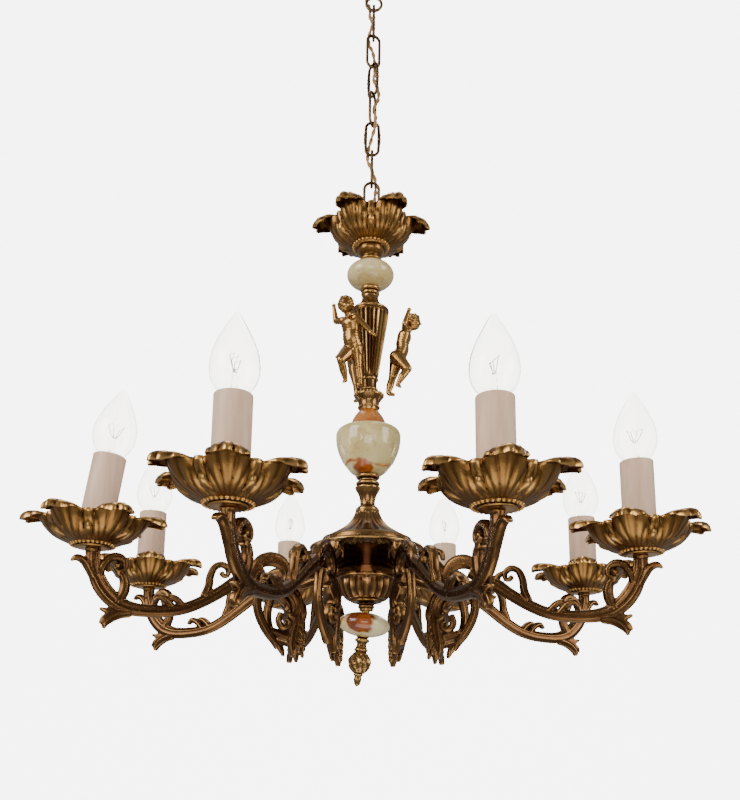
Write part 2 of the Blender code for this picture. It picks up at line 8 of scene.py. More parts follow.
# %% Load the frame
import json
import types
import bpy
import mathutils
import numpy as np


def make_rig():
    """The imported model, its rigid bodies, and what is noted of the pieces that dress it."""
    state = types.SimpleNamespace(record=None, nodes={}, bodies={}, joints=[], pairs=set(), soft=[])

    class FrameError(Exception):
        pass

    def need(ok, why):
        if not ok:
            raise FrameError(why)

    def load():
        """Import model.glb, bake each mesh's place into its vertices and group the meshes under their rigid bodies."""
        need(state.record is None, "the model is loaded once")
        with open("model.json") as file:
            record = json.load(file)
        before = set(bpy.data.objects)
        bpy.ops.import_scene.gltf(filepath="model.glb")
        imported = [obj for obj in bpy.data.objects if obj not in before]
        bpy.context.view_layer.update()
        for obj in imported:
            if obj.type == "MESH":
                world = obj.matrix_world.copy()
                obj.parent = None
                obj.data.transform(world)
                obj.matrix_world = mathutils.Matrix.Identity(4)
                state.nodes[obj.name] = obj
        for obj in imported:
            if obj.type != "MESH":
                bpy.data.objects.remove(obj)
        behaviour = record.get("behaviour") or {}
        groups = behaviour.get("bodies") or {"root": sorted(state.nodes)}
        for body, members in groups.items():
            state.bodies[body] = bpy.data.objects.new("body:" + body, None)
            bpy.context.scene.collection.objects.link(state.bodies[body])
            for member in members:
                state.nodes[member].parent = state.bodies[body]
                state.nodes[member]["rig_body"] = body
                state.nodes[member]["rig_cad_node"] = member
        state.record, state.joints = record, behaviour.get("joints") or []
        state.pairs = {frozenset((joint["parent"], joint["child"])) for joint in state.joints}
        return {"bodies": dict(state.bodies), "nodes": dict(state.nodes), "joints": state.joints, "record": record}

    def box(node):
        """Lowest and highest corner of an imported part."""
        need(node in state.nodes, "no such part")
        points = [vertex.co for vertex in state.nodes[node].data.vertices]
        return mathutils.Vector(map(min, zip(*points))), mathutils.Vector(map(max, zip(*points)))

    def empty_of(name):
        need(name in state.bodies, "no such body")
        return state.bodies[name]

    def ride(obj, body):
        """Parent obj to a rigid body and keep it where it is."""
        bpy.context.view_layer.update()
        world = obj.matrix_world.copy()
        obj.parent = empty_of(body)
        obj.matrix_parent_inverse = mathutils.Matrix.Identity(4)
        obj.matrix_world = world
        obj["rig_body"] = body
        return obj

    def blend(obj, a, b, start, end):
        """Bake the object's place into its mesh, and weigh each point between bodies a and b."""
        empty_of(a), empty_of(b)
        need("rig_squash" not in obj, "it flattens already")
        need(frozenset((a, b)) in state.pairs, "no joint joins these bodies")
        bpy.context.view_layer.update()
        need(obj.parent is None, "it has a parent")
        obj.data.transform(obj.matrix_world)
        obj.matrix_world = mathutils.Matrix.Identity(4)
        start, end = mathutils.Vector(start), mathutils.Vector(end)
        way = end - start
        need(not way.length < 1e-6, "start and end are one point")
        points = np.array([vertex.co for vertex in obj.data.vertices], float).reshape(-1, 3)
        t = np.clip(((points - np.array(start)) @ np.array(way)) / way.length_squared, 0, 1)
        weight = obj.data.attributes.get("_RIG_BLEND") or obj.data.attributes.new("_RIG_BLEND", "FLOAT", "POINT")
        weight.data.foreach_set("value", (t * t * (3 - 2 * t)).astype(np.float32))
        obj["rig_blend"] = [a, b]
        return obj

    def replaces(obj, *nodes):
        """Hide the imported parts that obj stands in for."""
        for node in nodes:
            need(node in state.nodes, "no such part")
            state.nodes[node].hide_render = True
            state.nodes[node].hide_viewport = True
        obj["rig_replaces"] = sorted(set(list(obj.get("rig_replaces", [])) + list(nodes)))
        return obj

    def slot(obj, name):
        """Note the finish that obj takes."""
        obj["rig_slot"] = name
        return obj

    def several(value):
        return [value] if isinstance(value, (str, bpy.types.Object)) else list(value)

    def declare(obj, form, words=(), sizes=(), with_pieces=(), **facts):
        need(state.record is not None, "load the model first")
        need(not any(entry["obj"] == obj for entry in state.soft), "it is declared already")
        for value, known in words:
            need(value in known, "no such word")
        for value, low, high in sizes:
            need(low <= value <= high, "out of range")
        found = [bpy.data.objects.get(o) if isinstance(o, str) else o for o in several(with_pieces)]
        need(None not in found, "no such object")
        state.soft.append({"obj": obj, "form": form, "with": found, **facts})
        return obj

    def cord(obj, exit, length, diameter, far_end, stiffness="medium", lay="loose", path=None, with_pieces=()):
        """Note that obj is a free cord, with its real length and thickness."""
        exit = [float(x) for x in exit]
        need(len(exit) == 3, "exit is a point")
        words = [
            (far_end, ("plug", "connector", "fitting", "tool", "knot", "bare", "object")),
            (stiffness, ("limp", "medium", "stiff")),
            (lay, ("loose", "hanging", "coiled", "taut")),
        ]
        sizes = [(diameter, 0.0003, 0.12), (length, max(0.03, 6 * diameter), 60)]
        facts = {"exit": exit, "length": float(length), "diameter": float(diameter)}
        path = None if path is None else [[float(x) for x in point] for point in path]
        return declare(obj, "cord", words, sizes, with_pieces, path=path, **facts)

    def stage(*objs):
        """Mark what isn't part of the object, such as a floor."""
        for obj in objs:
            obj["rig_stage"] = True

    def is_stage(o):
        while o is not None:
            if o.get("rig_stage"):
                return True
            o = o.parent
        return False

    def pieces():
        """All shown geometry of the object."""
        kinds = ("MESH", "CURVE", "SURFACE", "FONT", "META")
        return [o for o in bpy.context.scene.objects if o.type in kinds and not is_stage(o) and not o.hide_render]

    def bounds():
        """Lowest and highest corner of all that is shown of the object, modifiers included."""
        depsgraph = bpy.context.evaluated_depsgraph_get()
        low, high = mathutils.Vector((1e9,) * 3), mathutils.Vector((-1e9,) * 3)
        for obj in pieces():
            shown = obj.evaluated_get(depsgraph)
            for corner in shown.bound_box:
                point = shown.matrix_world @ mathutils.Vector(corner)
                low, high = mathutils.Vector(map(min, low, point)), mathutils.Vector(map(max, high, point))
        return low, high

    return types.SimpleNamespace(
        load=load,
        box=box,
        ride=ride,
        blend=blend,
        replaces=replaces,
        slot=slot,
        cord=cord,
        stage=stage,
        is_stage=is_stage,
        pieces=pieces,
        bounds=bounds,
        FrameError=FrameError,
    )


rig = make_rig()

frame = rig.load()
cad_box = [list(corner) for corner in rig.bounds()]
print("bodies:", len(frame["bodies"]), "nodes:", len(frame["nodes"]))

# %% [markdown]
# Everything here is measured in millimetres up from the tip of the finial, because that is how the
# pieces stack on the central rod. The ceiling is the frame's zero, so the finial's lowest point says
# how far below the ceiling the tip is. A finished piece is scaled to metres and moved under the
# ceiling in one step at the end, by settle().

# %% Sizes that everything shares
import json
import math

import bpy
from mathutils import Matrix, Vector

MM = 0.001
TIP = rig.box("finial")[0].z
CEILING = -TIP / MM
ARM_COUNT = 8
CANDLE_RADIUS = 239.0
LEANING_ARM = 5
CANDLE_LEAN = math.radians(7)
BORE = 5.4
WELD_MM = 0.01


def box_mm(node):
    """A node's lowest and highest corners in finial millimetres."""
    low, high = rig.box(node)
    shift = Vector((0, 0, CEILING))
    return low / MM + shift, high / MM + shift


def arm_angle(number):
    """Direction of an arm, read from the middle of its drip pan."""
    low, high = box_mm(f"drip_pan_{number}")
    middle = (low + high) / 2
    return math.atan2(middle.y, middle.x)


print("tip to ceiling:", round(CEILING, 1), "mm")

# %% [markdown]
# A few helpers save typing. only() selects one object and nothing else, because an operator acts on
# all that is selected, and edit_all() goes on into edit mode. modify() adds a modifier and applies it
# at once. settle() is the end of every piece: it names it, puts its place into its mesh and says which
# body it rides on and which node it stands for.

# %% Helpers for picking, joining and finishing


def only(obj):
    """Select one object and nothing else, in object mode."""
    if bpy.context.mode != "OBJECT":
        bpy.ops.object.mode_set(mode="OBJECT")
    bpy.ops.object.select_all(action="DESELECT")
    obj.select_set(True)
    bpy.context.view_layer.objects.active = obj


def join(objects):
    """One object from several."""
    only(objects[0])
    for obj in objects:
        obj.select_set(True)
    bpy.ops.object.join()
    return bpy.context.object


def edit_all(obj):
    """Go to edit mode with everything selected."""
    only(obj)
    bpy.ops.object.mode_set(mode="EDIT")
    bpy.ops.mesh.select_all(action="SELECT")


def edited():
    bpy.ops.object.mode_set(mode="OBJECT")


def modify(obj, kind, **settings):
    """Add one modifier with its settings and apply it."""
    only(obj)
    modifier = obj.modifiers.new(kind.lower(), kind)
    for key, value in settings.items():
        setattr(modifier, key, value)
    bpy.ops.object.modifier_apply(modifier=modifier.name)


def melt(obj, voxel, softness, rounds, kept):
    """Fuse overlapping shapes into one skin as a casting has, soften it and thin it out."""
    modify(obj, "REMESH", mode="VOXEL", voxel_size=voxel)
    modify(obj, "SMOOTH", factor=softness, iterations=rounds)
    modify(obj, "DECIMATE", ratio=kept)


def smooth(obj, angle=35):
    """Smooth shading, with hard edges where faces meet at more than the angle."""
    only(obj)
    bpy.ops.object.shade_smooth_by_angle(angle=math.radians(angle))


def fix_normals(obj):
    edit_all(obj)
    bpy.ops.mesh.remove_doubles(threshold=WELD_MM)
    bpy.ops.mesh.normals_make_consistent(inside=False)
    edited()


def pick(obj, chosen):
    """Go to edit mode with only the vertices selected for which chosen(place) is true."""
    edit_all(obj)
    bpy.ops.mesh.select_mode(type="VERT")
    bpy.ops.mesh.select_all(action="DESELECT")
    edited()
    for vertex in obj.data.vertices:
        vertex.select = chosen(vertex.co)
    bpy.ops.object.mode_set(mode="EDIT")


def name_piece(obj, name, finish):
    """Take a piece from finial millimetres to metres under the ceiling, name it and finish it."""
    obj.data.transform(Matrix.Scale(MM, 4) @ Matrix.Translation((0, 0, -CEILING)))
    obj.name = name
    obj.data.name = name
    obj.data.materials.clear()
    obj.data.materials.append(finish)


def settle(obj, name, body, slot, finish, *nodes):
    """Name a finished piece, put its place into its mesh and let it ride on its body."""
    only(obj)
    bpy.ops.object.transform_apply(location=True, rotation=True, scale=True)
    name_piece(obj, name, finish)
    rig.ride(obj, body)
    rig.slot(obj, slot)
    if nodes:
        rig.replaces(obj, *nodes)
    return obj


def copy_of(obj):
    """A copy with a mesh of its own."""
    twin = obj.copy()
    twin.data = obj.data.copy()
    bpy.context.collection.objects.link(twin)
    return twin


# %% [markdown]
# ## Camera, light and backdrop
# The chandelier is seen from a little below its arms, near enough for the front candles to look
# larger than those behind. The camera stands in front of the finial, CAMERA_DROP metres below its
# tip, and looks up.

# %% Camera
SENSOR_WIDTH = 36.0
LENS = 38.565
CAMERA_DISTANCE = 0.7645
CAMERA_DROP = 0.046
PITCH = math.radians(12.0)
ROLL = math.radians(0.74)

camera_data = bpy.data.cameras.new("camera")
camera_data.sensor_width = SENSOR_WIDTH
camera_data.lens = LENS
camera_data.shift_x = 0.004
camera_data.shift_y = 0.198
camera = bpy.data.objects.new("camera", camera_data)
bpy.context.scene.collection.objects.link(camera)
camera.matrix_world = (
    Matrix.Translation((0, -CAMERA_DISTANCE, TIP - CAMERA_DROP))
    @ Matrix.Rotation(math.pi / 2 + PITCH, 4, "X")
    @ Matrix.Rotation(ROLL, 4, "Z")
)
bpy.context.scene.camera = camera
print("lens:", round(camera_data.lens, 2), "mm")

# %% [markdown]
# Polished metal shows what stands round it: a room that is white all over makes brass look like
# paper, so the room is a dim grey and a few large soft lights make the bright streaks.

# %% Soft lights and a dim room
LIT_POINT = Vector((0, 0, -0.55))


def soft_light(name, place, width, height, power):
    """A rectangular light aimed at the middle of the chandelier."""
    light = bpy.data.lights.new(name, "AREA")
    light.shape = "RECTANGLE"
    light.size = width
    light.size_y = height
    light.energy = power
    obj = bpy.data.objects.new(name, light)
    obj.location = place
    obj.rotation_euler = (LIT_POINT - Vector(place)).to_track_quat("-Z", "Y").to_euler()
    bpy.context.scene.collection.objects.link(obj)


soft_light("window_left", (-1.5, -1.1, 0.1), 1.0, 1.3, 30)
soft_light("window_right", (1.7, -0.9, -0.2), 0.8, 1.2, 17)
soft_light("front_fill", (0.0, -2.3, -0.9), 1.2, 0.8, 13)
soft_light("floor_bounce", (0.0, -0.5, -2.0), 1.6, 1.2, 11)
soft_light("above", (0.0, 0.4, 1.0), 1.4, 1.0, 14)

world = bpy.data.worlds.new("studio")
world.use_nodes = True
world.node_tree.nodes["Background"].inputs["Color"].default_value = (0.80, 0.82, 0.85, 1)
world.node_tree.nodes["Background"].inputs["Strength"].default_value = 0.5
bpy.context.scene.world = world
print("lights:", [light.name for light in bpy.data.lights if light.type == "AREA"])

# %% [markdown]
# The backdrop is one pale sheet that curves from a floor far below up into a wall, as in a studio.
# It glows by itself and comes out nearly white, but it neither lights the brass nor shows in it:
# white paper all round would make the brass look pale.

# %% Backdrop


def node(material, kind, links=None, **settings):
    """Add a shader node. Settings are its properties or its inputs' values; links feed its inputs."""
    made = material.node_tree.nodes.new(kind)
    for key, value in settings.items():
        if hasattr(made, key):
            setattr(made, key, value)
        else:
            made.inputs[key.replace("_", " ")].default_value = value
    for name, source in (links or {}).items():
        material.node_tree.links.new(source, made.inputs[name])
    return made


def hex_colour(code):
    """An sRGB colour such as #c9a25c as linear RGBA."""
    channels = [int(code[i : i + 2], 16) / 255 for i in (1, 3, 5)]
    return (*[c / 12.92 if c <= 0.04045 else ((c + 0.055) / 1.055) ** 2.4 for c in channels], 1.0)


def new_finish(name):
    """A material with only its Principled shader and output."""
    material = bpy.data.materials.new(name)
    material.use_nodes = True
    return material, material.node_tree.nodes["Principled BSDF"]


def tune(shader, **values):
    """Set a shader's inputs; an underscore stands for the space in an input's name."""
    for key, value in values.items():
        shader.inputs[key.replace("_", " ")].default_value = value


paper, shader = new_finish("matt_studio_paper")
tune(shader, Base_Color=hex_colour("#f2f3f5"), Roughness=1.0)
tune(shader, Emission_Color=hex_colour("#ffffff"), Emission_Strength=6.0)

SHEET_SIZE = (9, 7, 1)
FLOOR_SHIFT = (0, -2.0, -2.6)
WALL_HEIGHT = 6.5
CORNER_RADIUS = 1.2
bpy.ops.mesh.primitive_plane_add(size=1.0, location=(0, 1.5, 0))
backdrop = bpy.context.object
backdrop.name = "backdrop"
edit_all(backdrop)
bpy.ops.transform.resize(value=SHEET_SIZE)
bpy.ops.transform.translate(value=FLOOR_SHIFT)
edited()
for edge in backdrop.data.edges:
    edge.select = all(backdrop.data.vertices[v].co.y > 0 for v in edge.vertices)
for vertex in backdrop.data.vertices:
    vertex.select = vertex.co.y > 0
bpy.ops.object.mode_set(mode="EDIT")
bpy.ops.mesh.extrude_region_move(TRANSFORM_OT_translate={"value": (0, 0, WALL_HEIGHT)})
edited()
modify(backdrop, "BEVEL", width=CORNER_RADIUS, segments=12)
bpy.ops.object.shade_smooth()
backdrop.data.materials.append(paper)
backdrop.visible_diffuse = False
backdrop.visible_glossy = False
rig.stage(backdrop)
print("backdrop faces:", len(backdrop.data.polygons))

# %% [markdown]
# ## Finishes
# The castings are brass that was dipped to darken it and then rubbed, so colour follows the shape:
# hollows keep a nearly black brown that is partly real patina and partly painted shade, flats are a
# warm brown, and the edges are a pale gold that is partly rubbed wear and partly painted highlight.
# Ambient Occlusion finds the hollows and Pointiness the edges. A soft noise with patches of about
# 12 mm varies both, as rubbing by hand does, and a fine noise roughens the cast skin. That skin is
# really about 0.3 mm and is drawn at 0.8 mm so that it shows.

# %% Brass with patina, wear, painted shade and painted highlight


def noise_of(material, place, grain_mm, detail=3.0):
    """Noise whose patches are about grain_mm across."""
    made = node(material, "ShaderNodeTexNoise", {"Vector": place}, Scale=0.5 / (grain_mm * MM))
    made.inputs["Detail"].default_value = detail
    return made.outputs["Fac"]


def ramp(material, value, *stops):
    """A colour ramp through (position, colour) stops."""
    made = node(material, "ShaderNodeValToRGB", {"Fac": value})
    points = made.color_ramp.elements
    for point, (position, colour) in zip(points, (stops[0], stops[-1])):
        point.position = position
        point.color = colour
    for position, colour in stops[1:-1]:
        points.new(position).color = colour
    return made.outputs["Color"]


def maths(material, operation, first, second):
    """One Math node; each value is a number or another node's output."""
    made = node(material, "ShaderNodeMath", operation=operation)
    for index, value in enumerate((first, second)):
        if isinstance(value, (int, float)):
            made.inputs[index].default_value = value
        else:
            material.node_tree.links.new(value, made.inputs[index])
    return made.outputs[0]


def grey(value):
    return (value, value, value, 1.0)


def roughen(material, shader, height, strength, depth):
    """Let a noise lift and sink the surface: a bump with its depth in metres."""
    bump = node(material, "ShaderNodeBump", {"Height": height}, Strength=strength, Distance=depth)
    material.node_tree.links.new(bump.outputs["Normal"], shader.inputs["Normal"])


def brass_patina_wear_and_painted_light(name, hollow, flat, edge, rough, hollow_mm=5.0):
    """Brass with colours for its hollows (patina and painted shade), flats and edges (rubbed wear and painted
    highlight); hollow_mm is how far a hollow looks.
    """
    material, shader = new_finish(name)
    place = node(material, "ShaderNodeTexCoord").outputs["Object"]
    patches = noise_of(material, place, 12)
    skin = noise_of(material, place, 0.8, 2.0)
    # Painted shade: the Ambient Occlusion node darkens the colour in hollows, on top of their real patina.
    patina_and_painted_shade = node(material, "ShaderNodeAmbientOcclusion", Distance=hollow_mm * MM, samples=6)
    shape = node(material, "ShaderNodeNewGeometry")
    lift = maths(material, "MULTIPLY", maths(material, "SUBTRACT", patches, 0.5), 0.35)
    depth = maths(material, "ADD", patina_and_painted_shade.outputs["AO"], lift)
    flats = hex_colour(flat)
    body = ramp(material, depth, (0.34, hex_colour(hollow)), (0.78, flats), (1.0, flats))
    # Painted highlight: Pointiness lightens the colour on edges, on top of their real rubbed wear.
    ridge = maths(material, "ADD", shape.outputs["Pointiness"], maths(material, "MULTIPLY", lift, 0.12))
    wear_and_painted_highlight = ramp(material, ridge, (0.50, grey(0.0)), (0.56, grey(1.0)))
    mix = node(material, "ShaderNodeMix", data_type="RGBA")
    links = material.node_tree.links
    links.new(wear_and_painted_highlight, mix.inputs["Factor"])
    links.new(body, mix.inputs[6])
    mix.inputs[7].default_value = hex_colour(edge)
    links.new(mix.outputs[2], shader.inputs["Base Color"])
    dull = ramp(material, depth, (0.2, grey(rough + 0.22)), (0.7, grey(rough)), (1.1, grey(rough - 0.06)))
    links.new(dull, shader.inputs["Roughness"])
    tune(shader, Metallic=1.0)
    roughen(material, shader, skin, 0.25, 0.0003)
    return material


# Each brass: a hollow colour (patina and painted shade), a flat colour, an edge colour (rubbed wear and painted
# highlight).
golden_brass = brass_patina_wear_and_painted_light("rubbed_cast_brass", "#1e1009", "#6a4824", "#b98c50", 0.34, 7.0)
column_brass = brass_patina_wear_and_painted_light("rubbed_turned_brass", "#2a170c", "#735332", "#b88f55", 0.3)
arm_brass = brass_patina_wear_and_painted_light("dark_rubbed_cast_brass", "#1c0f09", "#573b24", "#a37a47", 0.33, 7.0)
hub_brass = brass_patina_wear_and_painted_light("chocolate_patinated_brass", "#3a1d12", "#5e3522", "#8a5a34", 0.42, 2.0)
figure_brass = brass_patina_wear_and_painted_light("bright_rubbed_cast_brass", "#2a170a", "#8f6636", "#d2a763", 0.3, 3.0)
chain_brass = brass_patina_wear_and_painted_light("dark_drawn_brass", "#1c120d", "#4a3524", "#8a6a45", 0.38)
print("brasses:", [m.name for m in (golden_brass, column_brass, arm_brass, hub_brass, chain_brass)])

# %% [markdown]
# The onyx is a banded calcite, sawn, turned and polished: cream with a green tint, crossed by warm
# clouds and a few rust-coloured veins where iron seeped in. It is a little translucent, so light
# softens inside it, which a small amount of subsurface scattering gives. Every stone has its rust in
# another place, so each gets its own bands: heights in finial millimetres between which it is rust.

# %% Banded onyx


def fade(material, value, nothing, full):
    """Rise smoothly from 0 to 1 while the value goes from one place in millimetres to another."""
    made = node(material, "ShaderNodeMapRange", {"Value": value}, interpolation_type="SMOOTHSTEP")
    tune(made, From_Min=nothing * MM, From_Max=full * MM)
    return made.outputs["Result"]


BAND_BLUR = 1.5
PATCH_BLUR = 2


def banded_onyx(name, bands, patch=None, tint="#d4be80"):
    """Onyx with rust between the heights of each band and in a round patch of (centre, radius)."""
    material, shader = new_finish(name)
    links = material.node_tree.links
    place = node(material, "ShaderNodeTexCoord").outputs["Object"]
    swirl = noise_of(material, place, 16, 5.0)
    cloud = noise_of(material, place, 26, 2.0)
    split = node(material, "ShaderNodeSeparateXYZ", {"Vector": place})
    waver = maths(material, "MULTIPLY", maths(material, "SUBTRACT", swirl, 0.5), 0.030)
    height = maths(material, "ADD", split.outputs["Z"], waver)
    rust = 0.0
    for low, high in bands:
        low, high = low - CEILING, high - CEILING
        above = fade(material, height, low - BAND_BLUR, low + BAND_BLUR)
        below = fade(material, height, high + BAND_BLUR, high - BAND_BLUR)
        rust = maths(material, "MAXIMUM", maths(material, "MULTIPLY", above, below), rust)
    if patch:
        centre, radius = patch
        away = node(material, "ShaderNodeVectorMath", {0: place}, operation="DISTANCE")
        away.inputs[1].default_value = (centre[0] * MM, centre[1] * MM, (centre[2] - CEILING) * MM)
        reach = maths(material, "ADD", away.outputs["Value"], maths(material, "MULTIPLY", waver, 1.2))
        spot = fade(material, reach, radius + PATCH_BLUR, radius - PATCH_BLUR)
        rust = maths(material, "MAXIMUM", spot, rust)
    veins = ramp(material, swirl, (0.455, grey(0.0)), (0.475, grey(0.55)), (0.50, grey(0.0)))
    rust = maths(material, "ADD", rust, maths(material, "MULTIPLY", veins, 0.5))
    rust = maths(material, "MINIMUM", rust, 1.0)
    stops = (0.35, 0.5, 0.7)
    creams = [hex_colour(code) for code in ("#bca765", tint, "#e3d4a4")]
    rusts = [hex_colour(code) for code in ("#6e300c", "#a35214", "#c58238")]
    cream = ramp(material, cloud, *zip(stops, creams))
    iron = ramp(material, swirl, *zip(stops, rusts))
    mix = node(material, "ShaderNodeMix", data_type="RGBA")
    links.new(rust, mix.inputs["Factor"])
    links.new(cream, mix.inputs[6])
    links.new(iron, mix.inputs[7])
    links.new(mix.outputs[2], shader.inputs["Base Color"])
    tune(shader, Roughness=0.16, IOR=1.55, Coat_Weight=0.3, Coat_Roughness=0.05)
    tune(shader, Subsurface_Weight=0.25, Subsurface_Radius=(0.006, 0.004, 0.0025))
    return material


ball_onyx = banded_onyx("polished_cream_onyx", [(414, 424)], None, "#d3b978")
urn_onyx = banded_onyx("polished_onyx_rust_top", [(240, 262), (204, 206.5)], ((-3, -20, 197), 11))
disc_onyx = banded_onyx("polished_onyx_rust_band", [(59, 64)], ((-6, -23, 55), 10))

# %% [markdown]
# The candle sleeves are ivory-coloured card tubes with a faint rolled grain. The bulbs are clear
# soda-lime glass, so their shader lets the light through with the usual index of refraction. Inside
# stand a glass stem, steel wires and a tungsten filament, and the cap is nickel-plated brass.

# %% Sleeve, glass, wire and plastic
ivory, shader = new_finish("ivory_card_tube")
place = node(ivory, "ShaderNodeTexCoord").outputs["Object"]
stretch = node(ivory, "ShaderNodeMapping", {"Vector": place}, Scale=(1, 1, 0.12))
grain = noise_of(ivory, stretch.outputs["Vector"], 2.5)
tone = ramp(ivory, grain, (0.3, hex_colour("#dcb392")), (0.7, hex_colour("#ecc8a8")))
ivory.node_tree.links.new(tone, shader.inputs["Base Color"])
tune(shader, Roughness=0.5, Subsurface_Weight=0.08, Subsurface_Radius=(0.003, 0.002, 0.0015))
roughen(ivory, shader, grain, 0.15, 0.0002)

glass, shader = new_finish("clear_soda_lime_glass")
place = node(glass, "ShaderNodeTexCoord").outputs["Object"]
waviness = noise_of(glass, place, 14, 1.0)
tune(shader, Base_Color=hex_colour("#fbfaf4"), Roughness=0.0, IOR=1.45, Transmission_Weight=1.0)
roughen(glass, shader, waviness, 0.08, 0.0004)


def plain_finish(name, low, high, rough, metal, grain_mm):
    """A finish of one colour with a slight mottle and a fine bump."""
    material, shader = new_finish(name)
    place = node(material, "ShaderNodeTexCoord").outputs["Object"]
    mottle = noise_of(material, place, grain_mm)
    tone = ramp(material, mottle, (0.3, hex_colour(low)), (0.7, hex_colour(high)))
    material.node_tree.links.new(tone, shader.inputs["Base Color"])
    tune(shader, Roughness=rough, Metallic=metal)
    roughen(material, shader, mottle, 0.15, 0.0002)
    return material


wire_steel = plain_finish("drawn_steel_wire", "#4c4a48", "#6c6966", 0.35, 1.0, 2)
nickel = plain_finish("nickel_plated_brass_cap", "#a9a49a", "#c4c0b4", 0.28, 1.0, 4)
bakelite = plain_finish("black_moulded_bakelite", "#0d0c0b", "#1c1a18", 0.38, 0.0, 3)
zinc_steel = plain_finish("zinc_plated_steel", "#8d9093", "#a8abad", 0.32, 1.0, 5)
braid = plain_finish("golden_braided_silk", "#8a5f34", "#c99a62", 0.6, 0.0, 1.2)
print("materials:", len(bpy.data.materials))

# %% [markdown]
# ## Turned pieces
# Most of the column was turned on a lathe or cast from a turned pattern. turn_sheet() works the same
# way in Blender: a circle is drawn at the first point of an outline, and its edge is extruded, moved
# and resized to each next point. lathe() closes the piece: an outline that comes back to its start
# makes a bored one, and one that ends on the axis is closed with a point.

# %% A lathe of extrusions


def curve_through(points, steps=4):
    """More points on a smooth line through the given ones (a Catmull-Rom spline)."""
    points = [Vector(p) for p in points]
    ends = [2 * points[0] - points[1]] + points + [2 * points[-1] - points[-2]]
    line = []
    for a, b, c, d in zip(ends, ends[1:], ends[2:], ends[3:]):
        for step in range(steps):
            t = step / steps
            cube = 3 * b - a - 3 * c + d
            line.append(0.5 * (2 * b + (c - a) * t + (2 * a - 5 * b + 4 * c - d) * t**2 + cube * t**3))
    return [tuple(p) for p in line] + [tuple(points[-1])]


def bead(radius, height, size, start=90, stop=-90, steps=6):
    """Outline of a rounded moulding that stands out from a radius, from its top edge to its lower."""
    points = []
    for step in range(steps + 1):
        angle = math.radians(start + (stop - start) * step / steps)
        points.append((radius + size * math.cos(angle), height + size * math.sin(angle)))
    return points


def turn_sheet(outline, segments):
    """A sheet turned from an outline of (radius, height), open at both ends."""
    radius, height = outline[0]
    bpy.ops.object.select_all(action="DESELECT")
    bpy.ops.mesh.primitive_circle_add(vertices=segments, radius=radius, location=(0, 0, height))
    obj = bpy.context.object
    edit_all(obj)
    for next_radius, next_height in outline[1:]:
        grow = next_radius / radius
        bpy.ops.mesh.extrude_region_move(TRANSFORM_OT_translate={"value": (0, 0, next_height - height)})
        bpy.ops.transform.resize(value=(grow, grow, 1), center_override=(0, 0, next_height))
        radius, height = next_radius, next_height
    bpy.ops.mesh.select_all(action="SELECT")
    bpy.ops.mesh.normals_make_consistent(inside=False)
    edited()
    bpy.ops.object.transform_apply(location=True)
    return obj


def lathe(outline, segments):
    """A closed turned piece: its outline ends on the axis or where it began."""
    outline = [p for p, before in zip(outline, [None] + outline) if p != before]
    obj = turn_sheet([(max(radius, WELD_MM), height) for radius, height in outline], segments)
    modify(obj, "WELD", merge_threshold=5 * WELD_MM)
    fix_normals(obj)
    return obj


def bored(outline, bore=BORE):
    """Close an outline up a bore and back to its first point."""
    return [(bore, outline[0][1])] + outline + [(bore, outline[-1][1]), (bore, outline[0][1])]


def flute(obj, count, depth, low, high, twist=0.0):
    """Sink valleys in a turned piece: of each flute's four columns, one is deepest and one stays."""

    def column(place):
        angle = math.atan2(place.y, place.x) + twist * (place.z - low)
        return round(angle / math.tau * count * 4) % 4

    for columns, share in (((1, 3), 0.6), ((2,), 1.0)):
        pick(obj, lambda p: low <= p.z <= high and column(p) in columns and p.xy.length > BORE + 0.5)
        sink = 1 - depth * share
        bpy.ops.transform.resize(value=(sink, sink, 1), center_override=(0, 0, 0))
    only(obj)


def pearls(radius, height, size, count):
    """A ring of small beads, as low polyhedra because there are many of them."""
    bpy.ops.object.select_all(action="DESELECT")
    bpy.ops.mesh.primitive_ico_sphere_add(subdivisions=2, radius=size, location=(radius, 0, height))
    obj = bpy.context.object
    edit_all(obj)
    for _ in range(count - 1):
        bpy.ops.mesh.duplicate()
        bpy.ops.transform.rotate(value=math.tau / count, orient_axis="Z", center_override=(0, 0, 0))
    edited()
    bpy.ops.object.transform_apply(location=True)
    fix_normals(obj)
    return obj


print("points of a bead:", len(bead(BORE, 0, 1)))

# %% [markdown]
# The onyx ball, urn and disc are plain turned stones. Their polish shows every facet, so they get
# many segments and a smooth outline. The disc and the finial under it hang a few degrees out of line.

# %% Onyx ball, urn and disc
FINIAL_LEAN = math.radians(6)
FINIAL_PIVOT = 72.0


def hang_askew(obj):
    """Lean the disc or the finial about the point where it is screwed on."""
    edit_all(obj)
    bpy.ops.transform.rotate(value=-FINIAL_LEAN, orient_axis="Y", center_override=(0, 0, FINIAL_PIVOT))
    edited()


def stone_outline(radius, half_height, middle, bore, steps=22):
    """Outline of a flattened ball with a bore."""
    reach = math.asin(bore / radius)
    angles = [reach + (math.pi - 2 * reach) * step / steps for step in range(steps + 1)]
    points = [(radius * math.sin(a), middle + half_height * math.cos(a)) for a in angles]
    return points + [points[0]]


ball = lathe(stone_outline(23, 14, 400, BORE), 64)
smooth(ball)
settle(ball, "turned_onyx_ball", "chandelier", "onyx", ball_onyx, "onyx_ball")

urn_side = curve_through([(8.8, 258.8), (11, 256), (14.6, 250.5), (16.4, 245.2), (17.4, 242.8)], 3)
shoulder = [(19.5, 241.8), (26.5, 239.6), (29.8, 236), (30.2, 229), (28.4, 219), (24, 208.5)]
urn_side += curve_through(shoulder, 4) + curve_through([(24, 208.5), (17.5, 199.8), (11.8, 195.6)], 4)
urn = lathe(bored(urn_side), 72)
smooth(urn, 40)
settle(urn, "turned_onyx_urn", "chandelier", "onyx", urn_onyx, "onyx_urn")

